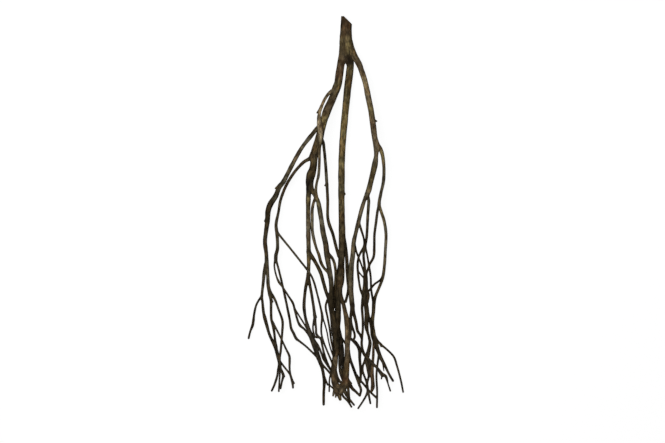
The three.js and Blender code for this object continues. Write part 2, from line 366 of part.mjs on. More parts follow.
function geometryOf(solid) {
  const mesh = solid.getMesh();
  const geometry = new THREE.BufferGeometry();
  geometry.setAttribute("position", new THREE.BufferAttribute(mesh.vertProperties, 3));
  geometry.setIndex(new THREE.BufferAttribute(mesh.triVerts, 1));
  geometry.computeBoundingBox();
  const middle = geometry.boundingBox.getCenter(new THREE.Vector3());
  geometry.translate(-middle.x, -middle.y, 0);
  geometry.computeVertexNormals();
  return geometry;
}

const bark = new THREE.MeshStandardMaterial({ color: BARK_COLOUR, roughness: BARK_ROUGHNESS, metalness: 0 });
const dryRoot = new THREE.Mesh(geometryOf(wholeRoot()), bark);
dryRoot.name = "dry_root";

const part = new THREE.Group();
part.add(dryRoot);

export default part;
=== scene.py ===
# %% [markdown]
# # A dry root, dressed in Blender
# The real thing is a dug-up woody root, dried and laid flat. A sawn crown forks into three limbs,
# and the limbs branch into long thin roots that spread like a broom.
# The solid model gives its size and its place. This lesson builds the bark over it:
# smooth round roots, filleted forks, rounded broken tips, ridges, and a bark finish that follows each root.

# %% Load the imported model
import json

import bpy
import bmesh
import numpy as np
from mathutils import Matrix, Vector

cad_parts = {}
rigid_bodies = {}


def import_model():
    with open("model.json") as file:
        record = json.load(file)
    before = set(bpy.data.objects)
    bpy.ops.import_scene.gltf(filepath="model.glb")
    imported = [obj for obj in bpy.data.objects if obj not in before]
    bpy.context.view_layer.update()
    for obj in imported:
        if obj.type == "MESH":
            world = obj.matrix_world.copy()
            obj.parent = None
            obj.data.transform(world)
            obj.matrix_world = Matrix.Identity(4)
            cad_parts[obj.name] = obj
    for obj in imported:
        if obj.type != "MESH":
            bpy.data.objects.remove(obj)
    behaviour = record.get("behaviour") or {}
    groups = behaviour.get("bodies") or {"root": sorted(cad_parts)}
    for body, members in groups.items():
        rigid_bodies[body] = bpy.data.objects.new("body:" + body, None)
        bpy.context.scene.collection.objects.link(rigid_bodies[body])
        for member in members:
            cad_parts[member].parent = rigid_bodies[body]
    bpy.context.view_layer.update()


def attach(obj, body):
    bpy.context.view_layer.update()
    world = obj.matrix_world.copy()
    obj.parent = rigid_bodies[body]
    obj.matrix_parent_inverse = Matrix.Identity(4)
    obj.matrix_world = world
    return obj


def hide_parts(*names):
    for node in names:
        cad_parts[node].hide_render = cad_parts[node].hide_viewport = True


for start_object in list(bpy.data.objects):
    bpy.data.objects.remove(start_object)
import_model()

# %% [markdown]
# ## Where each root runs
# A root is a list of points from its base to its tip: column, row, height and thickness.
# Column and row are pixels of the photograph, and height above the ground and thickness are millimetres.
# The same points drive the solid model, so the bark lies where the solid is.

# %% Scale of the photograph
ROOT_LENGTH = 0.941  # metres, cut end to furthest tip
CUT_ROW = 16  # photograph row of the cut end
TIP_ROW = 409  # photograph row of the furthest tip
PIXEL = ROOT_LENGTH / (TIP_ROW - CUT_ROW)  # metres to a pixel of the photograph
MIDDLE_COLUMN = 325.73  # the pixel over the model's origin
MIDDLE_ROW = 212.64
MM = 0.001
print("one pixel is", round(PIXEL / MM, 3), "mm")

# %% Routes of the crown and its limbs
LIMBS = {
    "crown": [[346.6, 8, 11, 26], [346.4, 20, 12.2, 27], [346.1, 29, 14, 27.6], [345.9, 40, 19.5, 28.5],
        [346.6, 51, 26, 28], [348.4, 62.6, 27, 17]],
    "left_limb": [[345, 42, 22, 20], [342.6, 55, 29.5, 18.5], [340.7, 65, 34, 18], [339.2, 75, 38, 18.9],
        [338.1, 83, 41.5, 17.9], [335.8, 90, 45, 19.8], [331.9, 100, 50, 18.1], [327.5, 110, 56, 19.4],
        [324.1, 120, 62, 17.3], [321.6, 129, 67, 17.5], [319, 140, 71, 20], [316, 150, 74, 21],
        [314, 156, 75.5, 20], [313.8, 164, 76, 17], [312.8, 169.5, 76, 18], [311, 175, 75, 21.6],
        [309.8, 181, 74, 19.6], [309.6, 188, 73, 16], [308.6, 196, 71.5, 12], [308.2, 212, 70, 10],
        [308.3, 228, 69, 10.4], [308.6, 245, 68, 10.4], [308.8, 256, 67, 9.9], [308.7, 268, 66, 8.3],
        [308.5, 276, 65.5, 7.9]],
    "middle_root": [[349.4, 50, 25, 18], [350.5, 63, 22, 17], [349.7, 72, 22, 17.6], [347.5, 90, 23, 17.6],
        [345.8, 107, 24.5, 16.4], [343.7, 130, 27, 16], [341.9, 155, 29.5, 15.3], [341.5, 180, 32, 15.4],
        [341.5, 200, 34, 15], [341.8, 220, 36, 15], [342, 235, 38, 15.6], [341.7, 250, 39, 14.4],
        [341.2, 264, 40, 15], [340.6, 273, 41, 19.6], [340.1, 281, 41, 20.4], [338.8, 290, 41, 16.5],
        [338.4, 301, 40, 12], [337.9, 311, 39, 15], [337, 321, 38, 18], [335.9, 331, 37, 17],
        [336, 345, 35, 16.4], [335.2, 358, 33, 13.8], [334.4, 366, 32, 14], [333.4, 371, 31, 14.5],
        [334.6, 381, 30, 15], [336.4, 389, 29, 15], [338.2, 395, 28.5, 9.3]],
    "right_limb": [[349, 42, 21, 15.5], [353.8, 54.5, 29.6, 15.5], [359, 64, 35, 14.4],
        [361.5, 70.5, 38, 13.2], [364, 78, 41, 13], [366.3, 87, 44, 12.8], [368.6, 99, 48, 13.6],
        [371.2, 112, 52, 13.8], [373.1, 126, 55, 14], [374.7, 138, 58, 13.4], [376.3, 146, 59, 14.5],
        [376, 156, 59, 10.2], [374.8, 165, 60, 14.4], [371.7, 178, 62, 12.4], [368.4, 191, 65, 13.2],
        [366.2, 196.5, 67, 11], [364.2, 201, 69, 8.9], [361.9, 208.1, 72, 9.7], [359.1, 219, 75, 9.5],
        [355.7, 233, 77, 8.9], [353.6, 243, 78, 10.3], [352.8, 254, 77, 11], [351.3, 266, 75, 12.6],
        [350.8, 280, 73, 13.4], [351.1, 292, 71, 11.4], [351.9, 303, 69.5, 11.9], [353.6, 313, 68, 7.9],
        [356, 322, 64, 7.1], [357.6, 331, 57, 7.1], [360.2, 335, 52, 6.3], [362.2, 340, 46, 5.3]],
}
print(len(LIMBS), "roots at the crown")

# %% Routes of the far left roots
FAR_LEFT_ROOTS = {
    "far_left": [[320.5, 125, 62, 9.3], [316.2, 129.8, 60, 10.2], [312, 134.9, 58, 9.8],
        [302.5, 147.1, 54, 9.3], [294, 161.6, 50, 9.9], [288.3, 172.6, 47, 10.2], [283.2, 182.2, 44, 10.8],
        [279.3, 187.5, 42, 11.4], [275.4, 196.5, 38, 12], [270.5, 204, 34, 14], [268.1, 211, 31, 13.2],
        [267.4, 220, 27, 12.1], [266, 231, 22, 9.9], [264.8, 242, 18, 10], [266.2, 255, 14, 9.2],
        [266.6, 266, 12, 10.4], [267.6, 276, 12, 7.7], [268.1, 286, 13, 8.7], [269.8, 294, 14, 10],
        [270.8, 301, 15, 6.7], [270.9, 312, 17, 6.4], [271.3, 320, 18, 6.4], [273, 326, 19, 7.3],
        [274.2, 334, 19, 5.9], [275, 341, 18, 5.9], [276.4, 348, 17, 6.3]],
    "far_left_low": [[265.4, 265, 12.2, 8.3], [264, 273, 9, 8.1], [263, 283, 5.2, 7.1],
        [262.1, 291, 2.9, 6.4], [261.6, 297.5, 2.5, 6.6], [262.3, 303, 2.8, 6.2], [263.3, 313, 4.5, 6.9],
        [264.7, 319, 6, 8.7], [266.7, 326.1, 8, 7.9], [269.2, 334.8, 11, 6.8], [273.2, 343.3, 14, 7.6],
        [275.5, 348.3, 16, 8.4], [277.9, 357.3, 19, 8.6], [279.1, 364, 21, 6.7], [278, 370, 22, 5.5],
        [277.2, 376, 23, 5.3], [274, 386, 24, 5.3], [271.5, 391.5, 24, 4.8]],
    "far_left_tip": [[261.7, 296, 2.8, 5.3], [258.6, 300.6, 4, 5.1], [256, 305.5, 6, 4.9],
        [254, 314, 9, 5.4], [253, 322, 12, 6.2], [252.3, 326, 13, 6.6], [250.2, 331.5, 15, 5.2],
        [248.3, 339, 17, 4.9]],
    "far_left_long": [[269.6, 292, 14, 6.9], [272.4, 295.8, 17, 6.5], [275, 300.3, 20, 5.7],
        [278.4, 309.5, 26, 5.3], [282.4, 321.2, 33, 6.1], [282.3, 331, 36, 5.9], [281.5, 341, 37, 5.5],
        [280.7, 351, 37, 5.5], [279.7, 358.5, 36, 5.7], [280.5, 368, 35, 5.7], [283.2, 375.5, 35, 6.7],
        [281.7, 382.5, 34, 5.1], [280.5, 389, 33, 4.7]],
    "far_left_twin": [[280.4, 365, 35, 4.7], [279.6, 377, 32, 4.3], [278.7, 392, 28, 4.1]],
    "far_left_stray": [[272.4, 322.5, 18.5, 5.7], [276, 329, 22, 4.7], [280.8, 338.4, 27, 4.5],
        [285.8, 348.9, 31, 4.7], [289.3, 356.4, 33, 5.9], [289.6, 360.9, 33, 5.9], [289.5, 368.4, 32, 4.9],
        [290.4, 375, 30, 4.7], [292, 381, 29, 4.7]],
    "far_left_hook": [[279, 360.5, 20.5, 5.3], [281.6, 364, 22, 4.7], [285, 368.4, 24, 4.5],
        [290, 375, 28, 4.9], [292.4, 383, 29, 5.9], [293, 388.5, 29, 4.7]],
}
print(len(FAR_LEFT_ROOTS), "far left roots")

# %% Routes of the second roots from the left
SECOND_LEFT_ROOTS = {
    "second_left": [[313, 154.4, 75, 11], [310.1, 158.5, 70, 9.7], [304.2, 162, 62, 7.9],
        [296.2, 170.1, 51, 7], [289.9, 178.9, 41, 7.3], [286.5, 184.9, 36, 7.1], [284, 190.2, 33, 6.9],
        [280.3, 201, 31, 6.8], [278.4, 212, 30, 6.3], [276, 225, 30, 7.5], [276.8, 233, 31, 8.1],
        [277.5, 243, 32, 7.7], [277.4, 249, 33, 8.2], [275.8, 256, 33, 8.9], [276, 260.6, 32.6, 6.7],
        [277.2, 264.4, 31, 5.1], [279.7, 274, 28, 5.1], [283, 288, 26, 5.3], [285.6, 300, 25, 5.6],
        [289.7, 320, 24, 5.7], [291.2, 329, 23, 6.5], [293.5, 333.5, 23, 6.5], [296.2, 339, 23, 6.9],
        [299.6, 341.7, 25, 5.3], [306, 346.7, 31, 4.7], [312.5, 352.7, 38.5, 4.9], [316.6, 356.5, 43, 5.3]],
    "second_left_loop": [[275.7, 258.5, 33, 7.1], [274.3, 265.5, 36, 4.1], [276.3, 276, 40, 4.1],
        [279, 282.4, 42, 5.7], [282.4, 287, 43, 4.5], [288.8, 296.8, 45, 4.7], [293, 303.5, 47, 5.8],
        [295, 311, 48, 5.3], [298.1, 321.8, 48, 5.5], [300.2, 325.7, 48, 6.9], [304.3, 329.2, 50, 5.3],
        [310.2, 337, 53, 4.7]],
    "second_left_thread": [[294.6, 308.6, 48, 4.1], [299.1, 315.9, 52, 3.8], [303.6, 323, 55, 3.8],
        [308.5, 331.7, 54.4, 3.9]],
    "slant_root": [[276.3, 231, 31, 5.3], [280, 236, 35, 5.1], [290, 248.2, 46, 4.9], [300, 260.7, 58, 4.9],
        [309.3, 272.6, 73, 5.1], [312.5, 278.2, 74, 4.9], [314.6, 284, 73, 5.1], [317.8, 296, 70, 4.7],
        [320.7, 308, 67, 5.1], [322.3, 317, 65, 6.3], [321.4, 325, 64, 4.7], [321.5, 334, 63, 4.5],
        [324, 343, 60, 4.5], [328.4, 354, 52, 4.5], [332, 363, 42, 4.5], [333.4, 369.5, 35, 4.7]],
    "slant_thread": [[322.2, 316.4, 65, 4.3], [324.2, 322, 66, 3.5], [327, 332, 66, 3.3],
        [328.6, 341, 63, 3.3], [331, 350, 54, 3.5], [333.2, 356.4, 42, 3.7]],
}
print(len(SECOND_LEFT_ROOTS), "second roots from the left")

# %% Routes from the end of the left limb
LEFT_LIMB_ROOTS = {
    "left_end": [[308.5, 274, 65.8, 8.9], [307.4, 280, 65, 8.7], [306, 286, 64, 7.7], [304.6, 297, 62, 6.9],
        [304.1, 307, 60, 7.9], [305.4, 317.4, 58, 6.8], [308, 327, 56, 8.3], [311, 336, 53, 12.6],
        [314.5, 345, 49, 13.6], [317.5, 355, 45, 11.6], [320.2, 362.4, 41, 9.7], [322.5, 370, 36, 7.3],
        [324.2, 382, 29, 7.3], [323.7, 394, 24, 6.5], [323.6, 405.4, 21, 5.9]],
    "left_end_twin": [[308.5, 277, 65.6, 7.3], [309.5, 283, 63.5, 7.3], [311.4, 293, 61.5, 6.6],
        [313.4, 305.4, 60, 6.7], [314.8, 316.5, 59, 7.9], [315.2, 322, 58.4, 6.3], [316, 328, 58, 5.3],
        [316.4, 333.8, 58, 5.5], [318.4, 336.8, 58, 5.9], [320.8, 338.8, 57.6, 5.9],
        [322.5, 346.6, 56, 5.3], [325, 357, 52, 5.7], [329, 367, 43, 5.7], [332.6, 373.4, 35, 5.5]],
    "left_end_loop": [[314.4, 320, 58.6, 6.5], [313, 326.6, 60, 4.1], [313.6, 333, 57.6, 4.3],
        [315.2, 337, 56.6, 4.9], [318, 337.4, 57.8, 4.9]],
    "left_end_strand": [[313.6, 340.4, 52, 5.9], [317, 344, 51.5, 5.5], [319.4, 348.4, 50, 5.3],
        [321.8, 354.4, 46, 5.3], [323.4, 359, 44, 5.3], [327.4, 365.2, 39.5, 5.5],
        [331.4, 371.2, 34.5, 5.3]],
    "left_end_link": [[320.2, 362, 40.6, 5.7], [323.6, 366.2, 39, 5.1], [327, 370, 37, 5.1],
        [331, 374.6, 34, 5.1], [333.4, 377.4, 32, 5.3]],
    "left_end_spine": [[322.6, 370.4, 35.6, 5.1], [324, 375.6, 36, 4.7], [325.5, 380, 37, 4.7],
        [327.8, 385.4, 38, 4.3]],
    "left_end_drop": [[331, 373.6, 34.6, 4.3], [329.6, 379, 36, 4], [329.2, 392, 36.5, 3.7]],
    "left_end_tie": [[329.2, 385, 36.4, 3.9], [333.4, 389, 33, 3.9], [336.4, 391.6, 30, 4.3]],
    "left_cross": [[308.6, 251.5, 67.4, 8.6], [311.2, 255.5, 66, 9.5], [316, 263.3, 64, 8.5],
        [320.7, 272.8, 63, 8.7], [323.6, 283, 63, 8.2], [327.2, 295, 64, 7.7], [330.8, 301.6, 63.5, 6.9]],
    "left_cross_tail": [[327.4, 294, 64, 6.7], [329, 303, 60, 6.3], [330.4, 311, 56, 6.5],
        [331.5, 319, 50, 6.7], [332, 327, 44, 6.3], [333, 336, 38, 5.9]],
}
print(len(LEFT_LIMB_ROOTS), "roots from the left limb")

# %% Routes of the pale root and its neighbours
PALE_ROOTS = {
    "pale_root": [[336, 88.6, 48, 8.7], [331, 91.6, 55, 7.5], [327, 96, 58, 7.3], [324, 101, 61, 7.1],
        [321.5, 107, 65, 6.7], [319.6, 113, 69, 7.6], [318.9, 119, 74, 9.4], [319.5, 125, 77, 12],
        [320.3, 131, 79, 13.4], [320.5, 138, 81, 11], [319.6, 150, 84, 6.7], [319.3, 165, 86, 6.5],
        [318.5, 176, 86, 6.5], [316.8, 183, 85, 5.9], [315.9, 190, 84, 6.9], [316.2, 197, 83, 9.9],
        [318.1, 201.6, 82, 10.1], [319.2, 207, 81, 11.3], [321.4, 220, 79, 11.3], [323.2, 233, 77, 13],
        [325.7, 244, 76, 13.2], [327.1, 256, 74, 13.6], [328.4, 264, 73, 11.8], [330.3, 274, 71, 10.8],
        [331.3, 285, 69, 11], [331.3, 293, 67, 11.6], [331.5, 301, 63.5, 10.4], [332.3, 310.5, 57, 10],
        [333.9, 320, 49, 9.9], [334.9, 328, 42, 8.9]],
    "pale_fork": [[316, 196.6, 83, 6.9], [313.6, 203, 81, 6.5], [312.4, 209, 80, 7.5],
        [312.2, 220, 78, 7.5], [312.2, 229, 76, 7.5], [313.4, 237, 75, 7.5], [316.5, 248.6, 74, 6.3],
        [318.8, 254.6, 73, 7.1], [321.2, 263, 72, 7.5], [324.5, 268.6, 72, 6.5], [328, 272.6, 71.6, 6.7],
        [330.1, 278.7, 70.6, 6.7]],
    "pale_cross": [[327.6, 253, 74.4, 7.3], [331, 256.6, 70, 7.3], [333.4, 260.4, 66, 6.9],
        [335, 266, 61, 6.5], [335.6, 274, 55, 6.3], [335.2, 283, 50, 6.3], [334.6, 292, 46, 6.3],
        [334.2, 300, 44, 6.9], [334.4, 308, 42, 6.3]],
    "pale_bridge": [[310.6, 183.6, 74.4, 9.3], [312.6, 191.2, 79, 11], [315.9, 196.8, 82.6, 8.9]],
    "dark_root": [[319.6, 136, 69, 8.3], [323, 142, 62.5, 7.3], [324.2, 150, 57, 7], [325.6, 165, 51, 7.1],
        [326.6, 180, 46, 7.6], [327.7, 200, 42, 6.9], [327.8, 218, 38, 7.1], [329.4, 225, 36.4, 7.8],
        [332.8, 234, 34, 7.3], [335.6, 245.2, 33, 7.3], [338.8, 257, 36, 7.5]],
    "inner_thread": [[329.6, 296, 65.6, 5.9], [326.8, 301.6, 64, 5.1], [325.7, 307, 63, 5.1],
        [327.5, 317, 62, 4.9], [329.7, 329, 60, 4.7], [331.3, 341, 56, 4.7], [333, 349.4, 47, 4.7],
        [333.8, 356, 39.5, 4.9]],
}
print(len(PALE_ROOTS), "pale roots and neighbours")

# %% Routes from the right limb
RIGHT_LIMB_ROOTS = {
    "right_outer": [[375.8, 143.4, 58.6, 9.3], [379.6, 147.8, 55, 9.9], [381.6, 152.3, 53, 9.5],
        [382.8, 157, 50, 8.4], [384, 170, 45, 7.5], [383.2, 183, 41, 7.7], [380.8, 194, 38, 7.5],
        [379.2, 204.6, 35.6, 7.9], [381, 211, 33, 7.3], [384.3, 221.5, 30, 7.3], [386.1, 234, 26, 7.2],
        [385.5, 250, 21, 7.1], [384.6, 265, 16, 7.3], [382.8, 278, 12, 7.5], [379, 288.5, 8, 6.7],
        [376, 295.5, 5.6, 7.3], [374.2, 301.6, 3.7, 9.4], [373.8, 307, 3.3, 9], [373.5, 313, 3.8, 8.6],
        [372.3, 322, 8, 10], [373, 331, 12, 10.8], [375.4, 339, 14.6, 9.3], [381, 344.9, 14, 5.7],
        [387.6, 350.5, 12, 4.9], [394, 357.4, 10, 5.1], [397.1, 366.3, 9, 4.9], [401.5, 383, 7, 4.7],
        [403.4, 393, 6, 4.3]],
    "right_tip": [[375.2, 338, 14.6, 6.9], [377.2, 345.2, 18, 6.1], [378.8, 351.8, 21.4, 7.3],
        [381.2, 358.6, 23.6, 8.3], [384.4, 364.7, 25, 6.9], [389.2, 374.6, 26, 5.5],
        [393.3, 381.6, 26, 5.5]],
    "right_plumb": [[379.3, 353, 22, 5.7], [377.4, 366, 27, 4.9], [376.5, 376, 30, 4.9],
        [377.2, 392, 31, 4.9], [377, 408, 30, 4.7]],
    "right_stake": [[374.6, 337.6, 15, 6.7], [373.7, 345.4, 21, 5.9], [373.2, 358, 31, 6.5],
        [372, 367, 37, 9.3], [371.9, 374, 40.6, 9.3], [372.6, 381, 42, 8.7], [372.8, 387, 42, 9.9],
        [371.4, 392, 41, 5.9]],
    "right_rung": [[382.9, 276.8, 12.6, 5.3], [380.2, 280.4, 15, 4.9], [374.5, 284.5, 23, 4.9],
        [371.2, 288.4, 30, 4.9], [366.5, 293.6, 42, 5.3]],
    "right_inner": [[379.3, 203.4, 36, 6.1], [377.6, 211, 36, 6.3], [376, 223, 37, 6.3],
        [374.5, 235, 38, 6.1], [374.3, 247, 39, 6.1], [373.6, 257, 41, 6.3], [369.5, 265, 45, 5.3],
        [366, 275, 48, 5.3]],
    "right_second": [[367, 194, 66, 8.3], [368.6, 200, 64, 7.1], [368.3, 208, 62, 7.2],
        [367.7, 217, 60, 6.8], [366.5, 238, 56, 6.3], [364.7, 246.4, 55, 8.7], [363.5, 255, 53, 5.9],
        [364.6, 267, 50, 6.5], [365.1, 283, 47, 9.9], [364.4, 294, 45, 13], [363.6, 299.6, 44, 11],
        [362.1, 306, 43, 6.3], [362.8, 320, 42, 5.9], [362.8, 330, 42, 5.7], [362, 338, 43, 5.9],
        [361.8, 346, 44, 5.9], [364, 354, 45, 7.5], [369, 360, 43, 6.5], [377, 368, 38, 6.3],
        [382.6, 375, 34, 9.7], [385.4, 376.2, 32, 7.3], [388.4, 385, 26, 3.7], [390.5, 391.6, 22, 4.1]],
    "right_second_twin": [[366, 272.4, 49, 4.9], [366.6, 277, 48.4, 5.3], [366.9, 283, 47.6, 5.5],
        [367, 289, 47, 5.5], [368.4, 295, 45.6, 6.7], [367.4, 303, 42.4, 5.9]],
    "right_third": [[364.4, 296, 44.4, 8.3], [366.2, 306, 41.5, 10.6], [366.9, 315, 39, 11.4],
        [366.5, 322, 37.6, 10.6], [366.6, 328, 37, 9.3], [367.8, 333, 36, 6.7], [369.2, 338, 35.4, 5.9],
        [369.6, 343, 35, 5.7], [368.1, 350, 36, 5.5], [366.2, 356.4, 38, 6.9], [364.6, 361.6, 39, 5.7],
        [362.9, 366, 39.6, 5.3], [362.7, 371, 40, 5.1], [364, 375.4, 39.6, 5.1], [366.4, 382, 39, 5.1],
        [368.2, 392, 37, 5.7], [370.5, 404, 34, 4.7]],
    "right_third_twin": [[369, 338, 35.4, 5.3], [370.6, 343, 35, 5.5], [369.4, 350.4, 36.4, 6.5],
        [368.3, 356.6, 38, 6.7], [366.5, 362.2, 39, 6.7], [367.4, 368, 40, 5.7], [368.7, 375, 40.4, 5.3]],
    "right_brace": [[367.8, 314.6, 38.8, 6.9], [370.2, 322, 33, 6.3], [371.4, 329, 26, 6.1],
        [372, 336, 20, 6.1], [374.2, 342.6, 17, 5.9]],
    "right_strut": [[369, 359.6, 42.6, 5.7], [369.4, 368, 41.6, 6.1], [368.8, 376.4, 40.6, 5.5],
        [367.2, 384, 39, 5.3], [367.9, 391, 37.4, 5.3]],
    "right_rib": [[374.2, 338, 15, 6.3], [375, 345.6, 18.4, 5.9], [377.2, 350.6, 20.4, 6.3],
        [379.6, 356, 22.6, 6.3]],
    "right_third_tip": [[368, 390.6, 37, 5.3], [365.8, 396.6, 34.6, 4.9], [362.4, 402.4, 32, 4.5],
        [358, 409, 29, 4.3]],
    "right_loop": [[364.8, 246, 55, 5.9], [361.4, 251.4, 51, 5.5], [358.6, 257.4, 48, 5.1],
        [357.6, 266, 45, 5.6], [358.9, 281, 43, 5.1], [361, 291.4, 43.6, 5.5], [364, 297.6, 44, 5.3]],
    "right_bow": [[364.8, 245.4, 55, 5.3], [366.5, 252, 54, 4.5], [369, 266, 46, 4.9],
        [370.7, 277, 35, 4.9], [371.3, 290, 20, 5.1], [373.6, 303.4, 7, 5.7]],
    "right_twig": [[358.6, 221.6, 75, 5.7], [361, 229.5, 72, 5.5], [363.6, 238, 64, 4.7],
        [364.7, 246, 56, 5.3]],
    "right_thread": [[353.4, 239, 77.6, 5.3], [355, 246, 74, 5.3], [356.4, 252, 69, 4.7],
        [358.6, 257.8, 64, 4.3], [361, 264, 58, 4.1], [364.4, 274, 50, 4.3]],
    "right_step": [[358.2, 271.6, 44.4, 3.9], [360.4, 274.2, 45, 3.5], [364.4, 278.8, 47, 3.9]],
    "right_spine": [[352.4, 305, 69, 8.3], [351, 313, 65.6, 6.7], [350.6, 320, 63, 6.7],
        [352.2, 327, 60, 5.9], [354.3, 333, 57, 5.5], [354.7, 337, 54.6, 5.3], [352.8, 341, 51, 5.3]],
    "right_spine_twin": [[351.2, 315, 64.8, 5.3], [350.4, 323, 61.6, 5.5], [350.5, 330, 58.6, 6.1],
        [350.2, 336.6, 55.6, 5.9], [348.8, 342, 54.4, 5.3]],
}
print(len(RIGHT_LIMB_ROOTS), "roots from the right limb")

# %% Routes of the lower tangle
LOWER_TANGLE = {
    "brown_root": [[339.8, 289, 41.6, 7.3], [341.4, 297, 43, 8], [343.4, 304, 44, 9.4],
        [344.9, 311, 45.5, 10.1], [346.7, 320, 50, 12.2], [347.4, 332, 54, 12], [347.2, 352, 55, 12],
        [346.8, 365, 53, 13.2], [345.6, 375, 49, 16.5], [345.2, 383.4, 44.5, 18], [342.6, 389.6, 40, 13],
        [340, 394, 37, 8.3]],
    "shade_root": [[343, 233, 36.6, 8.3], [344.8, 243, 31, 8.5], [345.9, 251, 27, 8.7],
        [346.8, 260, 24, 8.3], [347.2, 270, 23, 8.3], [347.9, 281, 24, 7.5], [348.5, 289, 27, 6.9],
        [347.2, 296, 33, 6.5], [345.4, 302.5, 40, 6.5]],
    "shade_strand": [[337.6, 325, 36.6, 8.3], [339.4, 333, 31, 9.7], [340.8, 341, 26, 10.4],
        [340.8, 351, 24, 10.4], [339.9, 360, 24.4, 7.4], [339.8, 367, 27, 6.7], [342.4, 376, 34, 7.3],
        [344.2, 381.6, 41, 7.3]],
    "shade_twin": [[339.6, 338, 27.6, 6.3], [342, 348, 22, 8.3], [342.6, 356, 23.4, 8.7],
        [343, 364.6, 30, 8.7], [344, 374.6, 42, 6.3]],
    "shade_thread": [[339.8, 366.6, 27, 4.7], [339.4, 371.6, 29, 3.3], [341.6, 378.4, 35, 3.5],
        [343.4, 382.4, 41, 4.3]],
    "saddle_strand": [[333.8, 365.6, 32, 8.3], [335.8, 372, 32, 6.7], [337.2, 377, 34, 6.5],
        [339.6, 381.6, 37, 6.7], [343, 383.8, 42, 7.3]],
    "shade_link": [[337.8, 330.6, 34, 5.9], [339.6, 335, 36, 5.1], [342, 338.8, 42, 5.1],
        [345.8, 344, 51, 5.3]],
    "brown_side": [[348, 337, 54, 7.3], [351.4, 339.4, 51, 6.7], [355.4, 342.8, 47, 9.1],
        [358.6, 347.6, 44.4, 8.1], [359.7, 352.4, 43.4, 7.7], [359.7, 358.4, 43, 7.1],
        [360.3, 366, 42, 6.5], [360.8, 375, 41, 6.1], [360.3, 382.6, 41.4, 5.3]],
    "brown_hook": [[348.4, 351, 54, 7.3], [350, 358.6, 51, 6.7], [354.7, 372, 46, 6.9], [359, 384, 42, 6.7],
        [361, 390, 40, 5.7], [359.9, 396, 38, 4.9]],
    "brown_sling": [[346.6, 383, 45, 8.3], [350.3, 385.4, 43, 8], [352.4, 388.8, 42, 7.6],
        [355.9, 391.9, 40, 6.2], [359.9, 396.2, 38, 4.9]],
    "brown_spur": [[346.6, 378.4, 47, 6.9], [349.6, 381.6, 47, 5.1], [351.6, 384, 47, 4.1]],
    "cross_root": [[357, 375.6, 44.6, 5.1], [360.6, 380.8, 40, 5.1], [364, 384.8, 35, 5.1],
        [369, 391, 30, 5.1], [376.8, 398.4, 30, 5.1]],
    "base_saddle": [[334.4, 382, 30.4, 12], [337.4, 386.4, 32.6, 13], [341.4, 387, 38, 13],
        [345.6, 384.6, 43.6, 12]],
    "base_left": [[335.8, 386.4, 29.4, 8.3], [334, 392.4, 28, 6.3], [333, 396.4, 27, 4.3]],
    "base_stub": [[336.8, 390, 28.8, 7.3], [335.6, 397.8, 26.6, 3.9]],
    "base_middle": [[337.6, 391, 29, 10], [339.2, 396.2, 27.8, 9.6], [340.4, 400.4, 26.6, 6.5]],
    "base_right": [[343.2, 386.6, 41, 7.3], [345.8, 393.6, 38.6, 8.2], [350, 400.2, 35, 5.3],
        [354.3, 405.6, 32, 4.5]],
    "base_far": [[340.6, 391, 37.6, 6.9], [343.4, 396.8, 36, 5.5], [348, 401.6, 34, 5.1],
        [351.7, 407.6, 31, 4.5]],
    "base_prop": [[347.2, 382.6, 44, 7.7], [348.3, 390, 41, 6.3], [349.2, 398.6, 37, 5.3]],
}
print(len(LOWER_TANGLE), "roots in the lower tangle")

# %% Routes of the short spurs
SPURS = {
    "pale_spur": [[321.6, 106.6, 65, 5.9], [319.2, 110.4, 66, 4.9], [317, 113.4, 67, 3.9]],
    "right_limb_spur": [[372.8, 120, 53.6, 6.7], [375, 121, 54.6, 5.1], [376.9, 121.5, 55, 3.7]],
    "far_left_spur": [[279.6, 185.4, 42.6, 7.9], [277.3, 187.2, 44, 5.9], [275.3, 188.8, 45, 4.3]],
    "far_left_bud": [[267, 219.6, 27, 8.3], [264.5, 221.4, 27.6, 4.9]],
    "dark_spur": [[327, 184.4, 45, 5.9], [324.7, 185.8, 45.6, 3.7]],
    "middle_bud": [[341.8, 192.6, 34, 10], [344.9, 194.4, 36, 5.9]],
    "inner_spur": [[270.8, 299, 15, 5.3], [272.8, 302.4, 16, 3.7]],
    "hook_spur": [[292, 380.8, 29, 5.3], [294.4, 383.8, 29.6, 3.7]],
    "long_spur": [[282.6, 373.6, 35, 5.3], [284.6, 377, 35.6, 3.7]],
    "twin_spur": [[314.6, 315, 59, 6.3], [316.5, 317.5, 60, 3.9]],
    "outer_spur": [[380.6, 344, 14, 4.9], [381.3, 347.4, 15, 3.5]],
    "tip_thorn": [[383, 362.8, 25, 4.3], [383.4, 367.4, 26, 3.1], [384, 371.4, 26.6, 2.3]],
    "knot_thorn": [[382.3, 374.6, 34, 5.3], [381.4, 379.4, 34.6, 3.1]],
}
print(len(SPURS), "short spurs")

# %% All the roots
ROOTS = {**LIMBS, **FAR_LEFT_ROOTS, **SECOND_LEFT_ROOTS, **LEFT_LIMB_ROOTS, **PALE_ROOTS, **RIGHT_LIMB_ROOTS,
         **LOWER_TANGLE, **SPURS}
print(len(ROOTS), "roots")

# %% [markdown]
# ## Smooth middle lines
# A root never bends at a corner. A centripetal Catmull-Rom curve runs through every point without loops.
# Rings are then laid along it at an even spacing, closer on thin roots.
# Living roots are never perfectly round rods, so a seeded swelling comes every few centimetres.
# The last rings close in like a dome, because a dry rootlet breaks off with a worn end.

# %% The curve through a root's points
FINE_STEPS = 24  # samples of the curve between two points


def place(column, row, height):
    """A pixel and a height in millimetres, as a place in metres."""
    return (column - MIDDLE_COLUMN) * PIXEL, (MIDDLE_ROW - row) * PIXEL, height * MM


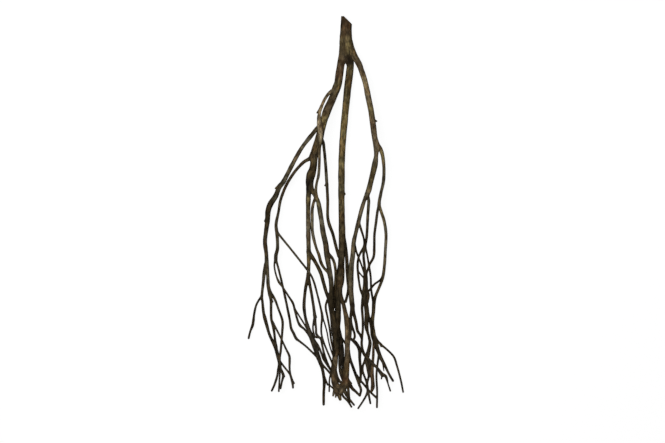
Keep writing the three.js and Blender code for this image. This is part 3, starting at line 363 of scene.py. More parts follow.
def curve_through(points):
    """Fine samples of place and radius along the curve through the points."""
    knots = np.array([place(*point[:3]) for point in points])
    radii = np.array([point[3] for point in points]) * MM / 2
    padded = np.vstack([2 * knots[0] - knots[1], knots, 2 * knots[-1] - knots[-2]])
    share = np.linspace(0, 1, FINE_STEPS, endpoint=False)[:, None]
    square, cube = share ** 2, share ** 3
    places, widths = [], []
    for i in range(len(knots) - 1):
        p0, p1, p2, p3 = padded[i:i + 4]
        g0, g1, g2 = (np.sqrt(np.linalg.norm(step)) for step in (p1 - p0, p2 - p1, p3 - p2))
        leave = ((p1 - p0) / g0 - (p2 - p0) / (g0 + g1) + (p2 - p1) / g1) * g1
        arrive = ((p2 - p1) / g1 - (p3 - p1) / (g1 + g2) + (p3 - p2) / g2) * g1
        places.append((2 * cube - 3 * square + 1) * p1 + (cube - 2 * square + share) * leave
                      + (3 * square - 2 * cube) * p2 + (cube - square) * arrive)
        widths.append(radii[i] + (radii[i + 1] - radii[i]) * (3 * square - 2 * cube)[:, 0])
    return np.vstack(places + [knots[-1:]]), np.append(np.concatenate(widths), radii[-1])


print("the crown's curve has", len(curve_through(ROOTS["crown"])[0]), "samples")

# %% Rings along each root
RING_STEPS = ((18, 2.8 * MM, 0), (9, 2.2 * MM, 1), (0, 2.0 * MM, 2))  # thickness from, ring spacing, size
FEWEST_RINGS = 3
TIP_DOME = 0.55  # length of the domed tip, in radii
DOME_ANGLES = np.radians((22, 42, 60, 76, 86))
LEAST_BODY = 0.5  # least share of a root before its dome
SWELLING_GAP = 42 * MM
SWELLING = 0.07  # share of the radius
SWELLING_SPREAD = (0.9, 1.6)  # half length of a swelling, in radii
SWELLING_RANGE = (-0.5, 1)  # from a slight waist to a full swelling
BARK = 0.12 * MM  # loose outer bark over the solid wood


def grow(points, seed):
    """Rings of one root: middle points, radii and distance from its base."""
    fine, widths = curve_through(points)
    fine_along = np.concatenate([[0], np.cumsum(np.linalg.norm(np.diff(fine, axis=0), axis=1))])
    length, tip = fine_along[-1], widths[-1]
    thickest = max(point[3] for point in points)
    _, step, size = next(row for row in RING_STEPS if thickest >= row[0])
    body_end = max(length - TIP_DOME * tip, length * LEAST_BODY)
    along = np.linspace(0, body_end, max(FEWEST_RINGS, round(body_end / step)))
    dice = np.random.default_rng(seed)
    radius = np.interp(along, fine_along, widths) + BARK
    for at in np.arange(dice.uniform(0, SWELLING_GAP), body_end, SWELLING_GAP):
        spread = radius[np.argmin(abs(along - at))] * dice.uniform(*SWELLING_SPREAD)
        swelling = SWELLING * dice.uniform(*SWELLING_RANGE)
        radius = radius * (1 + swelling * np.exp(-((along - at) / spread) ** 2))
    along = np.concatenate([along, body_end + (length - body_end) * np.sin(DOME_ANGLES)])
    radius = np.concatenate([radius, (tip + BARK) * np.cos(DOME_ANGLES)])
    middle = np.stack([np.interp(along, fine_along, fine[:, axis]) for axis in range(3)], axis=1)
    return {"middle": middle, "radius": radius, "along": along, "size": size}


STRANDS = {name: grow(points, seed) for seed, (name, points) in enumerate(ROOTS.items())}
print(sum(len(strand["along"]) for strand in STRANDS.values()), "rings,",
      round(sum(strand["along"][-1] for strand in STRANDS.values()), 2), "m of root")

# %% [markdown]
# ## Sweeping the roots and growing them together
# The middle lines go into one mesh of edges that carries each ring's radius as an attribute.
# A Geometry Nodes tree turns them into curves, sweeps a circle along each, and unites all the tubes,
# so that no faces are left inside the wood. Thick roots get more sides than thin ones.
# Sweeping by hand in Python would work too, but the tree keeps the sides and the union in named inputs.

# %% Helpers for node trees
NODE_GAP = 220
SHADER_OUTPUTS = {"FLOAT": "Fac", "FLOAT_VECTOR": "Vector", "FLOAT_COLOR": "Color"}


def add_node(tree, kind, feeds=None, **settings):
    """A node with its settings. Each input in feeds is linked to a socket, or set to a plain value."""
    node = tree.nodes.new(kind)
    node.location.x = NODE_GAP * len(tree.nodes)
    for name, value in settings.items():
        setattr(node, name, value)
    for name, value in (feeds or {}).items():
        if isinstance(value, bpy.types.NodeSocket):
            tree.links.new(value, node.inputs[name])
        else:
            node.inputs[name].default_value = value
    return node


def combined(tree, operation, *values):
    """The result of a Math operation on two values, or on more of them in turn."""
    result = values[0]
    for value in values[1:]:
        result = add_node(tree, "ShaderNodeMath", {0: result, 1: value}, operation=operation).outputs[0]
    return result


def named_attribute(tree, name, data_type="FLOAT"):
    if tree.bl_idname == "GeometryNodeTree":
        node = add_node(tree, "GeometryNodeInputNamedAttribute", {"Name": name}, data_type=data_type)
        return node.outputs["Attribute"]
    return add_node(tree, "ShaderNodeAttribute", attribute_name=name).outputs[SHADER_OUTPUTS[data_type]]


def new_tree(name, kind, inputs, outputs):
    """An empty node tree with named sockets, and its input and output nodes."""
    tree = bpy.data.node_groups.new(name, kind)
    for way, sockets in (("INPUT", inputs), ("OUTPUT", outputs)):
        for label, socket_type in sockets.items():
            tree.interface.new_socket(label, in_out=way, socket_type="NodeSocket" + socket_type)
    return tree, add_node(tree, "NodeGroupInput"), add_node(tree, "NodeGroupOutput")


def end_tree(tree, given, made, geometry):
    """Ends a Geometry Nodes tree with real geometry in the bark's material."""
    realized = add_node(tree, "GeometryNodeRealizeInstances", {0: geometry})
    finish = add_node(tree, "GeometryNodeSetMaterial",
                      {"Geometry": realized.outputs[0], "Material": given.outputs["Bark"]})
    tree.links.new(finish.outputs[0], made.inputs[0])
    return tree


def add_object(name, data):
    """A new object in the scene."""
    made = bpy.data.objects.new(name, data)
    bpy.context.scene.collection.objects.link(made)
    return made


def through_tree(mesh, tree, values, name):
    """The plain mesh that a Geometry Nodes tree makes of a mesh. Inputs are set by identifier."""
    carrier = add_object(name + "_carrier", mesh)
    modifier = carrier.modifiers.new(name, "NODES")
    modifier.node_group = tree
    for item in tree.interface.items_tree:
        if item.item_type == "SOCKET" and item.in_out == "INPUT" and item.name in values:
            modifier[item.identifier] = values[item.name]
    evaluated = carrier.evaluated_get(bpy.context.evaluated_depsgraph_get())
    result = bpy.data.meshes.new_from_object(evaluated)
    carrier.modifiers.remove(modifier)
    bpy.data.objects.remove(carrier)
    result.name = name
    return result


print("node helpers ready")

# %% The middle lines as a mesh
ATTRIBUTE_FIELDS = {"FLOAT": ("value", "f"), "INT": ("value", "i"), "FLOAT_VECTOR": ("vector", "f"),
                    "FLOAT_COLOR": ("color", "f")}


def set_attribute(mesh, name, kind, values):
    """Stores a value for each point of a mesh."""
    field, number_type = ATTRIBUTE_FIELDS[kind]
    layer = mesh.attributes.new(name, kind, "POINT")
    layer.data.foreach_set(field, np.asarray(values).astype(number_type).ravel())


def line_mesh():
    """All the middle lines as edges, with each ring's radius and size."""
    strands = list(STRANDS.values())
    counts = [len(strand["along"]) for strand in strands]
    starts = np.concatenate([[0], np.cumsum(counts)])
    edges = [(i, i + 1) for start, count in zip(starts, counts) for i in range(start, start + count - 1)]
    mesh = bpy.data.meshes.new("middle_lines")
    mesh.from_pydata(np.vstack([strand["middle"] for strand in strands]).tolist(), edges, [])
    set_attribute(mesh, "ring_radius", "FLOAT", np.concatenate([strand["radius"] for strand in strands]))
    set_attribute(mesh, "ring_size", "INT", np.repeat([strand["size"] for strand in strands], counts))
    return mesh


middle_lines = line_mesh()
print(len(middle_lines.edges), "edges in the middle lines")

# %% Sweep the roots and unite them
SIDES = {"Sides of thick roots": 22, "Sides of middle roots": 14, "Sides of thin roots": 10}
COMPARED, COMPARED_WITH = 2, 3  # a Compare node's inputs for whole numbers


def sweeping_tree():
    tree, given, made = new_tree(
        "sweep and unite roots", "GeometryNodeTree",
        {"Middle lines": "Geometry", **dict.fromkeys(SIDES, "Int"), "Bark": "Material"}, {"Root": "Geometry"})
    joined = add_node(tree, "GeometryNodeJoinGeometry")
    radius = named_attribute(tree, "ring_radius")
    size = named_attribute(tree, "ring_size", "INT")
    for number, label in enumerate(SIDES):
        same = add_node(tree, "FunctionNodeCompare", {COMPARED: size, COMPARED_WITH: number},
                        data_type="INT", operation="EQUAL")
        chosen = add_node(tree, "GeometryNodeSeparateGeometry",
                          {"Geometry": given.outputs["Middle lines"], "Selection": same.outputs["Result"]})
        line = add_node(tree, "GeometryNodeMeshToCurve", {"Mesh": chosen.outputs["Selection"]})
        circle = add_node(tree, "GeometryNodeCurvePrimitiveCircle",
                          {"Resolution": given.outputs[label], "Radius": 1})
        tube = add_node(tree, "GeometryNodeCurveToMesh",
                        {"Curve": line.outputs["Curve"], "Profile Curve": circle.outputs["Curve"],
                         "Scale": radius, "Fill Caps": True})
        tree.links.new(tube.outputs["Mesh"], joined.inputs[0])
    island = add_node(tree, "GeometryNodeInputMeshIsland")
    tubes = {"Geometry": joined.outputs[0], "Group ID": island.outputs["Island Index"]}
    split = add_node(tree, "GeometryNodeSplitToInstances", tubes, domain="FACE")
    united = add_node(tree, "GeometryNodeMeshBoolean", {"Mesh 2": split.outputs["Instances"]},
                      operation="UNION", solver="MANIFOLD")
    return end_tree(tree, given, made, united.outputs["Mesh"])


bark = bpy.data.materials.new("dry_bark")
skin = through_tree(middle_lines, sweeping_tree(), {**SIDES, "Bark": bark}, "root_skin")
print("united skin:", len(skin.vertices), "points,", len(skin.polygons), "faces")

# %% [markdown]
# ## Fillets at the forks
# Where two roots meet, wood grows over the corner and leaves a smooth saddle.
# A bevel would need clean edge loops, which a union doesn't leave.
# So each point of the skin is measured from the middle lines of its nearest two roots.
# A smooth minimum of the two distances is a surface with a fillet, and each point moves onto it.
# The union also leaves slivers, and their short edges are closed up first.

# %% Distance from the nearest two roots
REACH = 14 * MM  # how far from a root a point is still measured against it
FAR = 1.0  # metres, for a point with no root near it
TINY = 1e-9  # keeps a division from failing
MEASURES = {"gap": (), "away": (3,), "along": (), "radius": (), "direction": (3,)}


def nearest_on(strand, points):
    """Distance from a root's bark, direction away from its middle, and place along it, for each point."""
    middle, radius, along = strand["middle"], strand["radius"], strand["along"]
    start, step = middle[:-1], np.diff(middle, axis=0)
    square = np.maximum((step ** 2).sum(1), TINY ** 2)
    share = np.clip(((points @ step.T) - (start * step).sum(1)) / square, 0, 1)
    gap_square = np.zeros(share.shape)
    for axis in range(3):
        gap_square += (points[:, axis, None] - start[:, axis] - share * step[:, axis]) ** 2
    reach = np.sqrt(gap_square) - (radius[:-1] + share * np.diff(radius))
    best = reach.argmin(1)
    row = np.arange(len(points))
    part = share[row, best]
    away = points - start[best] - part[:, None] * step[best]
    length = np.maximum(np.linalg.norm(away, axis=1), TINY)
    return {
        "gap": reach[row, best],
        "away": away / length[:, None],
        "along": along[best] + part * (along[best + 1] - along[best]),
        "radius": radius[best] + part * (radius[best + 1] - radius[best]),
        "direction": step[best] / np.sqrt(square[best])[:, None],
    }


def two_nearest(points):
    """What nearest_on gives for each point's nearest and second nearest root, and which roots they are."""
    count = len(points)
    first, second = ({kind: np.zeros((count,) + shape) for kind, shape in MEASURES.items()} for _ in range(2))
    for ranked in (first, second):
        ranked["gap"][:] = FAR
        ranked["radius"][:] = MM
        ranked["root"] = np.zeros(count, int)
    for number, strand in enumerate(STRANDS.values()):
        margin = strand["radius"].max() + REACH
        low, high = strand["middle"].min(0) - margin, strand["middle"].max(0) + margin
        inside = np.flatnonzero(((points > low) & (points < high)).all(1))
        if not len(inside):
            continue
        found = nearest_on(strand, points[inside])
        found["root"] = np.full(len(inside), number)
        closer = found["gap"] < first["gap"][inside]
        middling = ~closer & (found["gap"] < second["gap"][inside])
        for kind in found:
            second[kind][inside[closer]] = first[kind][inside[closer]]
            first[kind][inside[closer]] = found[kind][closer]
            second[kind][inside[middling]] = found[kind][middling]
    return first, second


def points_of(mesh):
    flat = np.empty(len(mesh.vertices) * 3)
    mesh.vertices.foreach_get("co", flat)
    return flat.reshape(-1, 3)


print("points are measured from", len(STRANDS), "roots, up to", round(REACH / MM), "mm away")

# %% Close the slivers
SLIVER = 0.25 * MM  # shorter edges than this are closed up
SLIVER_ROUNDS = 8


def neighbours(vert):
    return {edge.other_vert(vert) for edge in vert.link_edges}


def can_close(edge):
    """An edge can be closed up when its ends share no neighbours but the corners facing it."""
    one, other = edge.verts
    facing = {vert for face in edge.link_faces for vert in face.verts} - {one, other}
    return neighbours(one) & neighbours(other) == facing


def close_slivers(work):
    """Welds short edges, a round at a time, so that no two of a round are neighbours."""
    bmesh.ops.triangulate(work, faces=work.faces)
    closed = 0
    for _ in range(SLIVER_ROUNDS):
        short = sorted((edge.calc_length(), edge.index) for edge in work.edges if edge.calc_length() < SLIVER)
        work.edges.ensure_lookup_table()
        welds, taken = {}, set()
        for _, number in short:
            edge = work.edges[number]
            one, other = edge.verts
            around = neighbours(one) | neighbours(other)
            if around & taken or not can_close(edge):
                continue
            taken |= around
            one.co = other.co = (one.co + other.co) / 2
            welds[other] = one
        if not welds:
            break
        bmesh.ops.weld_verts(work, targetmap=welds)
        work.edges.index_update()
        closed += len(welds)
    return closed


work = bmesh.new()
work.from_mesh(skin)
print(close_slivers(work), "slivers closed")
work.to_mesh(skin)
work.free()

# %% Move the skin onto the fillets
FILLET = 0.8  # reach of a fillet, in radii of the thinner root
FILLET_ROUNDS = 2
FILLET_LIMIT = 2.5 * MM  # the furthest that a point moves in one round
LEAST_SLOPE = 0.35  # keeps a point between two facing roots from jumping
SEEN_MOVE = 0.2 * MM


def fillet_share(first, second):
    """How much of a fillet a point lies in, from 0 to 1, and the fillet's reach there."""
    reach = FILLET * np.minimum(first["radius"], second["radius"])
    return np.clip(1 - (second["gap"] - first["gap"]) / reach, 0, 1), reach


def onto_fillets(points):
    for _ in range(FILLET_ROUNDS):
        first, second = two_nearest(points)
        share, reach = fillet_share(first, second)
        gap = first["gap"] - share ** 2 * reach / 4
        slope = first["away"] * (1 - share / 2)[:, None] + second["away"] * (share / 2)[:, None]
        steep = np.maximum((slope ** 2).sum(1), LEAST_SLOPE)
        push = np.clip(gap / steep, -FILLET_LIMIT, FILLET_LIMIT)
        points = points - slope * push[:, None]
    return points


before = points_of(skin)
after = onto_fillets(before)
skin.vertices.foreach_set("co", after.ravel())
moved = np.linalg.norm(after - before, axis=1)
print("fillets moved", int((moved > SEEN_MOVE).sum()), "points, by up to", round(moved.max() / MM, 2), "mm")

# %% [markdown]
# ## What each point of bark knows
# The bark's ridges run along each root, so a pattern in plain space would look cut from a block.
# Each point therefore keeps where it lies on its own root: round it, along it, and how thick it is there.
# It also keeps how deep it sits in a fork, where shade and some dirt are painted in, and the root's colour,
# which holds painted shade and a painted highlight in places.
# That colour blends named tones, which are placed along each root.

# %% Colours of the roots
TONES = {  # linear colours
    "olive": (0.104, 0.080, 0.034), "umber": (0.060, 0.044, 0.019), "moss": (0.125, 0.099, 0.041),
    "tan": (0.175, 0.134, 0.070), "pale": (0.190, 0.150, 0.088), "slate": (0.054, 0.046, 0.027),
    # the blackest tone here stands mostly for painted deep shade
    "dark": (0.026, 0.019, 0.009), "soot": (0.013, 0.010, 0.006), "russet": (0.075, 0.042, 0.020),
    "bronze": (0.084, 0.066, 0.029), "dust": (0.032, 0.026, 0.017), "cocoa": (0.046, 0.034, 0.018),
    "clay": (0.080, 0.056, 0.029), "rust": (0.052, 0.031, 0.015), "ash": (0.086, 0.072, 0.045),
    "loam": (0.103, 0.077, 0.044),
}
ROOT_TONES = {  # tones of the main roots, each after the photograph's row where it is reached
    # the crown's last stop paints the shade in the hollow where it overhangs the middle root
    "crown": "14 dark, 19 rust, 27 rust, 34 clay, 42 moss, 50 olive, 57 soot",
    # the left limb's blackest stops, rows 181 to 190, paint the shade in its knuckle's creases
    "left_limb": "46 tan, 60 clay, 76 russet, 84 bronze, 90 umber, 104 clay, 112 clay, 121 moss, "
                 "129 moss, 136 umber, 149 umber, 156 cocoa, 164 umber, 170 dark, 176 umber, 181 soot, "
                 "190 soot, 198 bronze, 212 umber, 228 ash, 245 slate, 260 bronze, 276 cocoa",
    # the middle root's first stop, at row 58, is painted shade under the crotch
    "middle_root": "58 dark, 68 bronze, 76 umber, 90 umber, 104 bronze, 113 moss, 130 moss, 146 olive, "
                   "164 moss, 176 umber, 190 bronze, 215 umber, 238 umber, 250 cocoa, 266 dark, "
                   "284 cocoa, 298 dark, 345 dark, 358 clay, 384 clay, 395 loam",
    # the right limb's tan stops at rows 82 and 92 are partly a painted highlight
    "right_limb": "46 olive, 58 clay, 70 clay, 82 tan, 92 tan, 98 loam, 109 moss, 122 loam, 147 loam, "
                  "156 ash, 168 umber, 184 bronze, 198 ash, 220 ash, 232 slate, 245 slate, 260 ash, "
                  "274 slate, 288 ash, 305 dark, 322 dark",
    "pale_root": "88 tan, 98 loam, 106 tan, 114 pale, 134 pale, 146 umber, 158 ash, 186 ash, 198 olive, "
                 "215 ash, 232 slate, 262 cocoa, 275 ash, 288 dark, 300 dark",
    "pale_fork": "197 loam, 215 ash, 235 ash, 257 umber, 280 umber",
    "brown_root": "292 dark, 312 cocoa, 326 clay, 342 loam, 353 loam, 362 clay, 372 umber, 380 russet, "
                  "385 clay, 392 loam",
    "right_stake": "338 dark, 350 rust, 368 clay, 380 rust, 393 dark",
    "middle_bud": "0 soot",
    "right_outer": "144 tan, 154 moss, 166 slate, 200 slate, 212 olive, 240 ash, 280 umber, 300 cocoa, "
                   "320 umber, 338 umber, 350 dark, 390 dust",
}
BASE_TONES = "376 umber, 390 loam, 400 umber"
ROOT_TONES.update(dict.fromkeys(("base_saddle", "base_left", "base_stub", "base_middle"), BASE_TONES))
# Lower down, the roots turn dark: partly the thin roots' darker bark, partly painted shade of the dense
# tangle.
GROUP_TONES = (  # tones of the other roots, group by group
    (FAR_LEFT_ROOTS, "128 dark, 140 ash, 152 ash, 166 slate, 192 slate, 205 dark, 225 dark, 245 cocoa, "
                     "270 slate, 320 dark, 390 dust"),
    (SECOND_LEFT_ROOTS, "156 cocoa, 190 cocoa, 250 slate, 300 dark, 340 dust, 360 dark"),
    (LEFT_LIMB_ROOTS, "250 umber, 290 dark, 320 dust, 350 dust, 375 dark, 400 dark"),
    (PALE_ROOTS, "136 dark, 180 slate, 200 umber, 240 dark, 270 umber, 300 dark"),
    (RIGHT_LIMB_ROOTS, "200 slate, 240 dark, 300 dark, 340 dark, 390 dust"),
    # the lower tangle's blackest stops paint the deep shade between the middle and brown roots
    (LOWER_TANGLE, "240 dark, 300 dark, 335 soot, 362 soot, 380 dark, 392 cocoa, 405 dark"),
    (SPURS, "100 umber, 200 umber, 300 dark"),
)


def stops_of(name):
    """A root's tones, each with the row where it is reached."""
    text = ROOT_TONES.get(name) or next(tones for group, tones in GROUP_TONES if name in group)
    return [stop.split() for stop in text.split(", ")]


def tone_at(name, rows):
    """A root's colour at rows of the photograph."""
    stops = stops_of(name)
    stop_rows = [float(row) for row, _ in stops]
    colours = np.array([TONES[tone] for _, tone in stops])
    return np.stack([np.interp(rows, stop_rows, colours[:, channel]) for channel in range(3)], axis=1)


print(len(TONES), "bark tones;", len(ROOT_TONES), "roots have tones of their own")

# %% Attributes of the bark
ALONG_OFFSET = 1.7  # metres between two roots' patterns
SEEN_FORK = 0.05


def bark_attributes(mesh):
    points = points_of(mesh)
    first, second = two_nearest(points)
    away, direction, radius = first["away"], first["direction"], first["radius"]
    across = np.cross((0, 0, 1), direction)
    across /= np.maximum(np.linalg.norm(across, axis=1), TINY)[:, None]
    over = np.cross(direction, across)
    grain = np.stack([radius * (away * over).sum(1), radius * (away * across).sum(1),
                      first["along"] + ALONG_OFFSET * first["root"]], axis=1)
    fork, _ = fillet_share(first, second)
    rows = MIDDLE_ROW - points[:, 1] / PIXEL
    colour = np.ones((len(points), 4))
    for number, name in enumerate(STRANDS):
        mine = np.flatnonzero(first["root"] == number)
        colour[mine, :3] = tone_at(name, rows[mine])
    for number, name in enumerate(STRANDS):
        near = np.flatnonzero((second["root"] == number) & (fork > 0))
        weight = fork[near, None] / 2
        colour[near, :3] = colour[near, :3] * (1 - weight) + tone_at(name, rows[near]) * weight
    set_attribute(mesh, "grain", "FLOAT_VECTOR", grain)
    set_attribute(mesh, "bark_tone_and_shade", "FLOAT_COLOR", colour)
    set_attribute(mesh, "girth", "FLOAT", radius)
    set_attribute(mesh, "fork", "FLOAT", fork)
    return fork


fork = bark_attributes(skin)
print("points in forks:", int((fork > SEEN_FORK).sum()))

# %% [markdown]
# ## Ridges and knobs in the bark
# Dry bark shrinks into long low ridges, and old side roots leave knobs.
# Both follow the surface by a rule, so a second tree pushes the points along their normals.
# The noise reads the place on the root, stretched along it, and its depth grows with the root's thickness.

# %% The ridge tree
RIDGE_VALUES = {"Ridge depth": 0.11, "Ridges per metre": 210.0, "Knob depth": 0.16, "Knobs per metre": 48.0,
                "Seed": 4.0}  # depths are shares of the radius
RELIEF = (  # depth, scale, stretch along the root, detail
    ("Ridge depth", "Ridges per metre", (1, 1, 0.22), 2),
    ("Knob depth", "Knobs per metre", (1, 1, 0.8), 1),
)
RELIEF_ROUGHNESS = 0.5
NOISE_MIDDLE = 0.5


def stretched_noise(tree, vector, stretch, scale, detail, seed, roughness):
    """Noise that reads a stretched vector. The scale and the seed are sockets or plain values."""
    scaled = add_node(tree, "ShaderNodeVectorMath", {0: vector, 1: stretch}, operation="MULTIPLY")
    feeds = {"Vector": scaled.outputs[0], "W": seed, "Scale": scale, "Detail": detail, "Roughness": roughness}
    return add_node(tree, "ShaderNodeTexNoise", feeds, noise_dimensions="4D").outputs["Fac"]


def ridge_tree():
    tree, given, made = new_tree(
        "bark ridges", "GeometryNodeTree",
        {"Smooth root": "Geometry", **dict.fromkeys(RIDGE_VALUES, "Float"), "Bark": "Material"},
        {"Ridged root": "Geometry"})
    grain = named_attribute(tree, "grain", "FLOAT_VECTOR")
    girth = named_attribute(tree, "girth")
    pushes = []
    for depth, scale, stretch, detail in RELIEF:
        noise = stretched_noise(tree, grain, stretch, given.outputs[scale], detail, given.outputs["Seed"],
                                RELIEF_ROUGHNESS)
        centred = combined(tree, "SUBTRACT", noise, NOISE_MIDDLE)
        pushes.append(combined(tree, "MULTIPLY", centred, given.outputs[depth], girth))
    normal = add_node(tree, "GeometryNodeInputNormal")
    outwards = add_node(tree, "ShaderNodeVectorMath",
                        {0: normal.outputs[0], "Scale": combined(tree, "ADD", *pushes)}, operation="SCALE")
    pushed = add_node(tree, "GeometryNodeSetPosition",
                      {"Geometry": given.outputs["Smooth root"], "Offset": outwards.outputs[0]})
    return end_tree(tree, given, made, pushed.outputs[0])


root_mesh = through_tree(skin, ridge_tree(), {**RIDGE_VALUES, "Bark": bark}, "root_bark")
push = np.linalg.norm(points_of(root_mesh) - points_of(skin), axis=1) / MM
print("ridges move the bark by", round(push.mean(), 3), "mm on average, at most", round(push.max(), 3))

# %% [markdown]
# ## The saw cuts and the resting spots
# Two saw cuts end the crown: a narrow square one and a slanted one.
# The lowest three spots of bark are worn flat where the root lies on the ground.
# Cutting comes last, so that the ridges end sharply at the saw and the flats stay flat.

# %% Cut the crown and flatten the low spots
CUTS = (((340, 15.8), (344, 15.8)), ((343.4, 15.4), (352.6, 24.4)))  # left and right end of each, in pixels
CUT_LOOPS = (0.88, 0.66, 0.40, 0.16)  # loops on a cut face, as shares of its size
CUT_DISH = 0.35 * MM  # how far the middle of a cut is sunk
CUT_TOLERANCE = 1e-6
MOST_CORNERS = 4  # a face with more corners is split into triangles
SAWN_SLOT = 1  # the sawn wood's place in the root's materials
cut_wood = bpy.data.materials.new("sawn_wood")


def loops_inside(work, face, outwards):
    """Replaces a cut face with loops of faces that sink towards its middle."""
    rim = list(face.verts)
    middle = sum((vert.co for vert in rim), Vector()) / len(rim)
    bmesh.ops.delete(work, geom=[face], context="FACES_ONLY")
    outer = rim
    for share in CUT_LOOPS:
        sunk = outwards * -CUT_DISH * (1 - share)
        inner = [work.verts.new(middle + (vert.co - middle) * share + sunk) for vert in rim]
        for here in range(len(rim)):
            there = (here + 1) % len(rim)
            side = work.faces.new((outer[here], outer[there], inner[there], inner[here]))
            side.material_index = SAWN_SLOT
        outer = inner
    work.faces.new(outer).material_index = SAWN_SLOT


def cut_off(work, where, outwards, sawn):
    """Cuts away what lies outside a plane, and closes the cut."""
    geometry = work.verts[:] + work.edges[:] + work.faces[:]
    made = bmesh.ops.bisect_plane(work, geom=geometry, dist=CUT_TOLERANCE, plane_co=where, plane_no=outwards,
                                  clear_outer=True)
    rim = [item for item in made["geom_cut"] if isinstance(item, bmesh.types.BMEdge) and item.is_boundary]
    filled = bmesh.ops.holes_fill(work, edges=rim, sides=0)["faces"]
    if sawn:
        for face in filled:
            loops_inside(work, face, outwards)
    return len(filled)


def cut_root(mesh):
    work = bmesh.new()
    work.from_mesh(mesh)
    cuts = 0
    for left, right in CUTS:
        start, end = Vector(place(*left, 0)), Vector(place(*right, 0))
        along = (end - start).normalized()
        cuts += cut_off(work, start, Vector((-along.y, along.x, 0)), True)
    flats = cut_off(work, Vector((0, 0, 0)), Vector((0, 0, -1)), False)
    bmesh.ops.triangulate(work, faces=[face for face in work.faces if len(face.verts) > MOST_CORNERS])
    bmesh.ops.recalc_face_normals(work, faces=work.faces)
    open_edges = sum(1 for edge in work.edges if not edge.is_manifold)
    work.to_mesh(mesh)
    work.free()
    return cuts, flats, open_edges


root_mesh.materials.append(cut_wood)
cuts, flats, open_edges = cut_root(root_mesh)
root_mesh.shade_smooth()
dry_root = add_object("root_bark", root_mesh)
print(cuts, "saw cut faces,", flats, "resting spots,", open_edges, "open edges,",
      sum(len(face.vertices) - 2 for face in root_mesh.polygons), "triangles")

# %% [markdown]
# ## The bark finish
# Dry bark has three things going on: its own brown, fine streaks and flecks along the root,
# and painted shade on its sides, underside and forks, with some dirt in the forks.
# Noise in plain space would cut across the bends, so the streaks read each point's place on its root.
# The streaks and the painted shade are node groups, so that the sawn wood can wear the same painted shade.

# %% Helpers for the finishes
FINISH_ROUGHNESS = 0.55  # how much fine noise is in the coarse
DRY_GLOSS = 0.06
MIX_SHARE, MIX_FIRST, MIX_SECOND = 0, 6, 7  # a Mix node's inputs for colours
MIX_RESULT = 2  # and its output


def mix_colour(tree, blend, share, first, second):
    """A colour Mix node. Each of share, first and second is a socket or a plain value."""
    feeds = {MIX_SHARE: share, MIX_FIRST: first, MIX_SECOND: second}
    node = add_node(tree, "ShaderNodeMix", feeds, data_type="RGBA", blend_type=blend, clamp_result=False)
    return node.outputs[MIX_RESULT]


def fitted(tree, value, low, high, to_low=0.0, to_high=1.0):
    """A value moved from one range to another, and kept inside it."""
    feeds = {"Value": value, "From Min": low, "From Max": high, "To Min": to_low, "To Max": to_high}
    return add_node(tree, "ShaderNodeMapRange", feeds).outputs["Result"]


def shader_of(material, values):
    """A material's own shader, with plain values on its sockets."""
    material.use_nodes = True
    shader = next(node for node in material.node_tree.nodes if node.type == "BSDF_PRINCIPLED")
    for name, value in values.items():
        shader.inputs[name].default_value = value
    return shader


def bumped(tree, height, depth, strength=1.0):
    feeds = {"Height": height, "Distance": depth, "Strength": strength}
    return add_node(tree, "ShaderNodeBump", feeds).outputs["Normal"]


print("finish helpers ready")

# %% Group: streaks, patches and flecks along the root
PATCH_STRETCH = (1, 1, 0.55)
STREAK_STRETCH = (1, 1, 0.12)
FLECK_STRETCH = (1, 1, 1.5)
BARK_NOISES = {  # stretch along the root, scale per metre, detail, seed
    "patches": (PATCH_STRETCH, 125, 3, 1.0),
    "streaks": (STREAK_STRETCH, 620, 4, 2.0),
    "wide streaks": (STREAK_STRETCH, 260, 2, 3.0),
    "flecks": (FLECK_STRETCH, 330, 2, 5.0),
    "hues": (PATCH_STRETCH, 70, 2, 9.0),
}
BARK_TINTS = (  # noise, where a tint starts and is full, its most, and what it multiplies the colour by
    ("hues", 0.50, 0.34, 1, (1.13, 0.97, 0.86, 1)),
    ("hues", 0.52, 0.68, 1, (0.92, 1.0, 1.12, 1)),
    ("patches", 0.56, 0.36, 1, (0.42, 0.39, 0.36, 1)),
    ("patches", 0.50, 0.68, 1, (1.6, 1.56, 1.52, 1)),
    ("streaks", 0.56, 0.36, 1, (0.36, 0.33, 0.31, 1)),
    ("wide streaks", 0.52, 0.70, 1, (1.6, 1.58, 1.56, 1)),
    ("flecks", 0.66, 0.74, 0.8, (0.28, 0.25, 0.22, 1)),
)
STREAK_RELIEF = (0.3, 0.6, 0, 1)  # from the noise's range to a height
FLECK_RELIEF = (0.74, 0.64, 0, 0.6)
PATCH_ROUGHNESS = (0.3, 0.7, 0.95, 0.72)


def streak_group():
    group, given, made = new_tree("bark streaks", "ShaderNodeTree", {"Grain": "Vector", "Tone": "Color"},
                                  {"Colour": "Color", "Height": "Float", "Roughness": "Float"})
    noises = {name: stretched_noise(group, given.outputs["Grain"], *values, FINISH_ROUGHNESS)
              for name, values in BARK_NOISES.items()}
    colour = given.outputs["Tone"]
    for name, start, full, most, tint in BARK_TINTS:
        share = fitted(group, noises[name], start, full, 0, most)
        colour = mix_colour(group, "MULTIPLY", share, colour, tint)
    height = combined(group, "ADD", fitted(group, noises["streaks"], *STREAK_RELIEF),
                      fitted(group, noises["flecks"], *FLECK_RELIEF))
    group.links.new(colour, made.inputs["Colour"])
    group.links.new(height, made.inputs["Height"])
    group.links.new(fitted(group, noises["patches"], *PATCH_ROUGHNESS), made.inputs["Roughness"])
    return group


STREAKS = streak_group()
print(STREAKS.name, "has", len(BARK_NOISES), "noises and", len(BARK_TINTS), "tints")

# %% Group: painted shade on the sides, underside and forks, with some dirt in the forks
UNDERSIDE_PAINTED_SHADE = (0.8, -0.2, 0, 0.85)  # from how far a face looks up, to its share of painted shade, as if the sides and underside were unlit
# from how deep a point sits in a fork, to its share of painted crease shade with some dirt
FORK_SHADE_AND_DIRT = (0.15, 0.95, 0, 0.6)


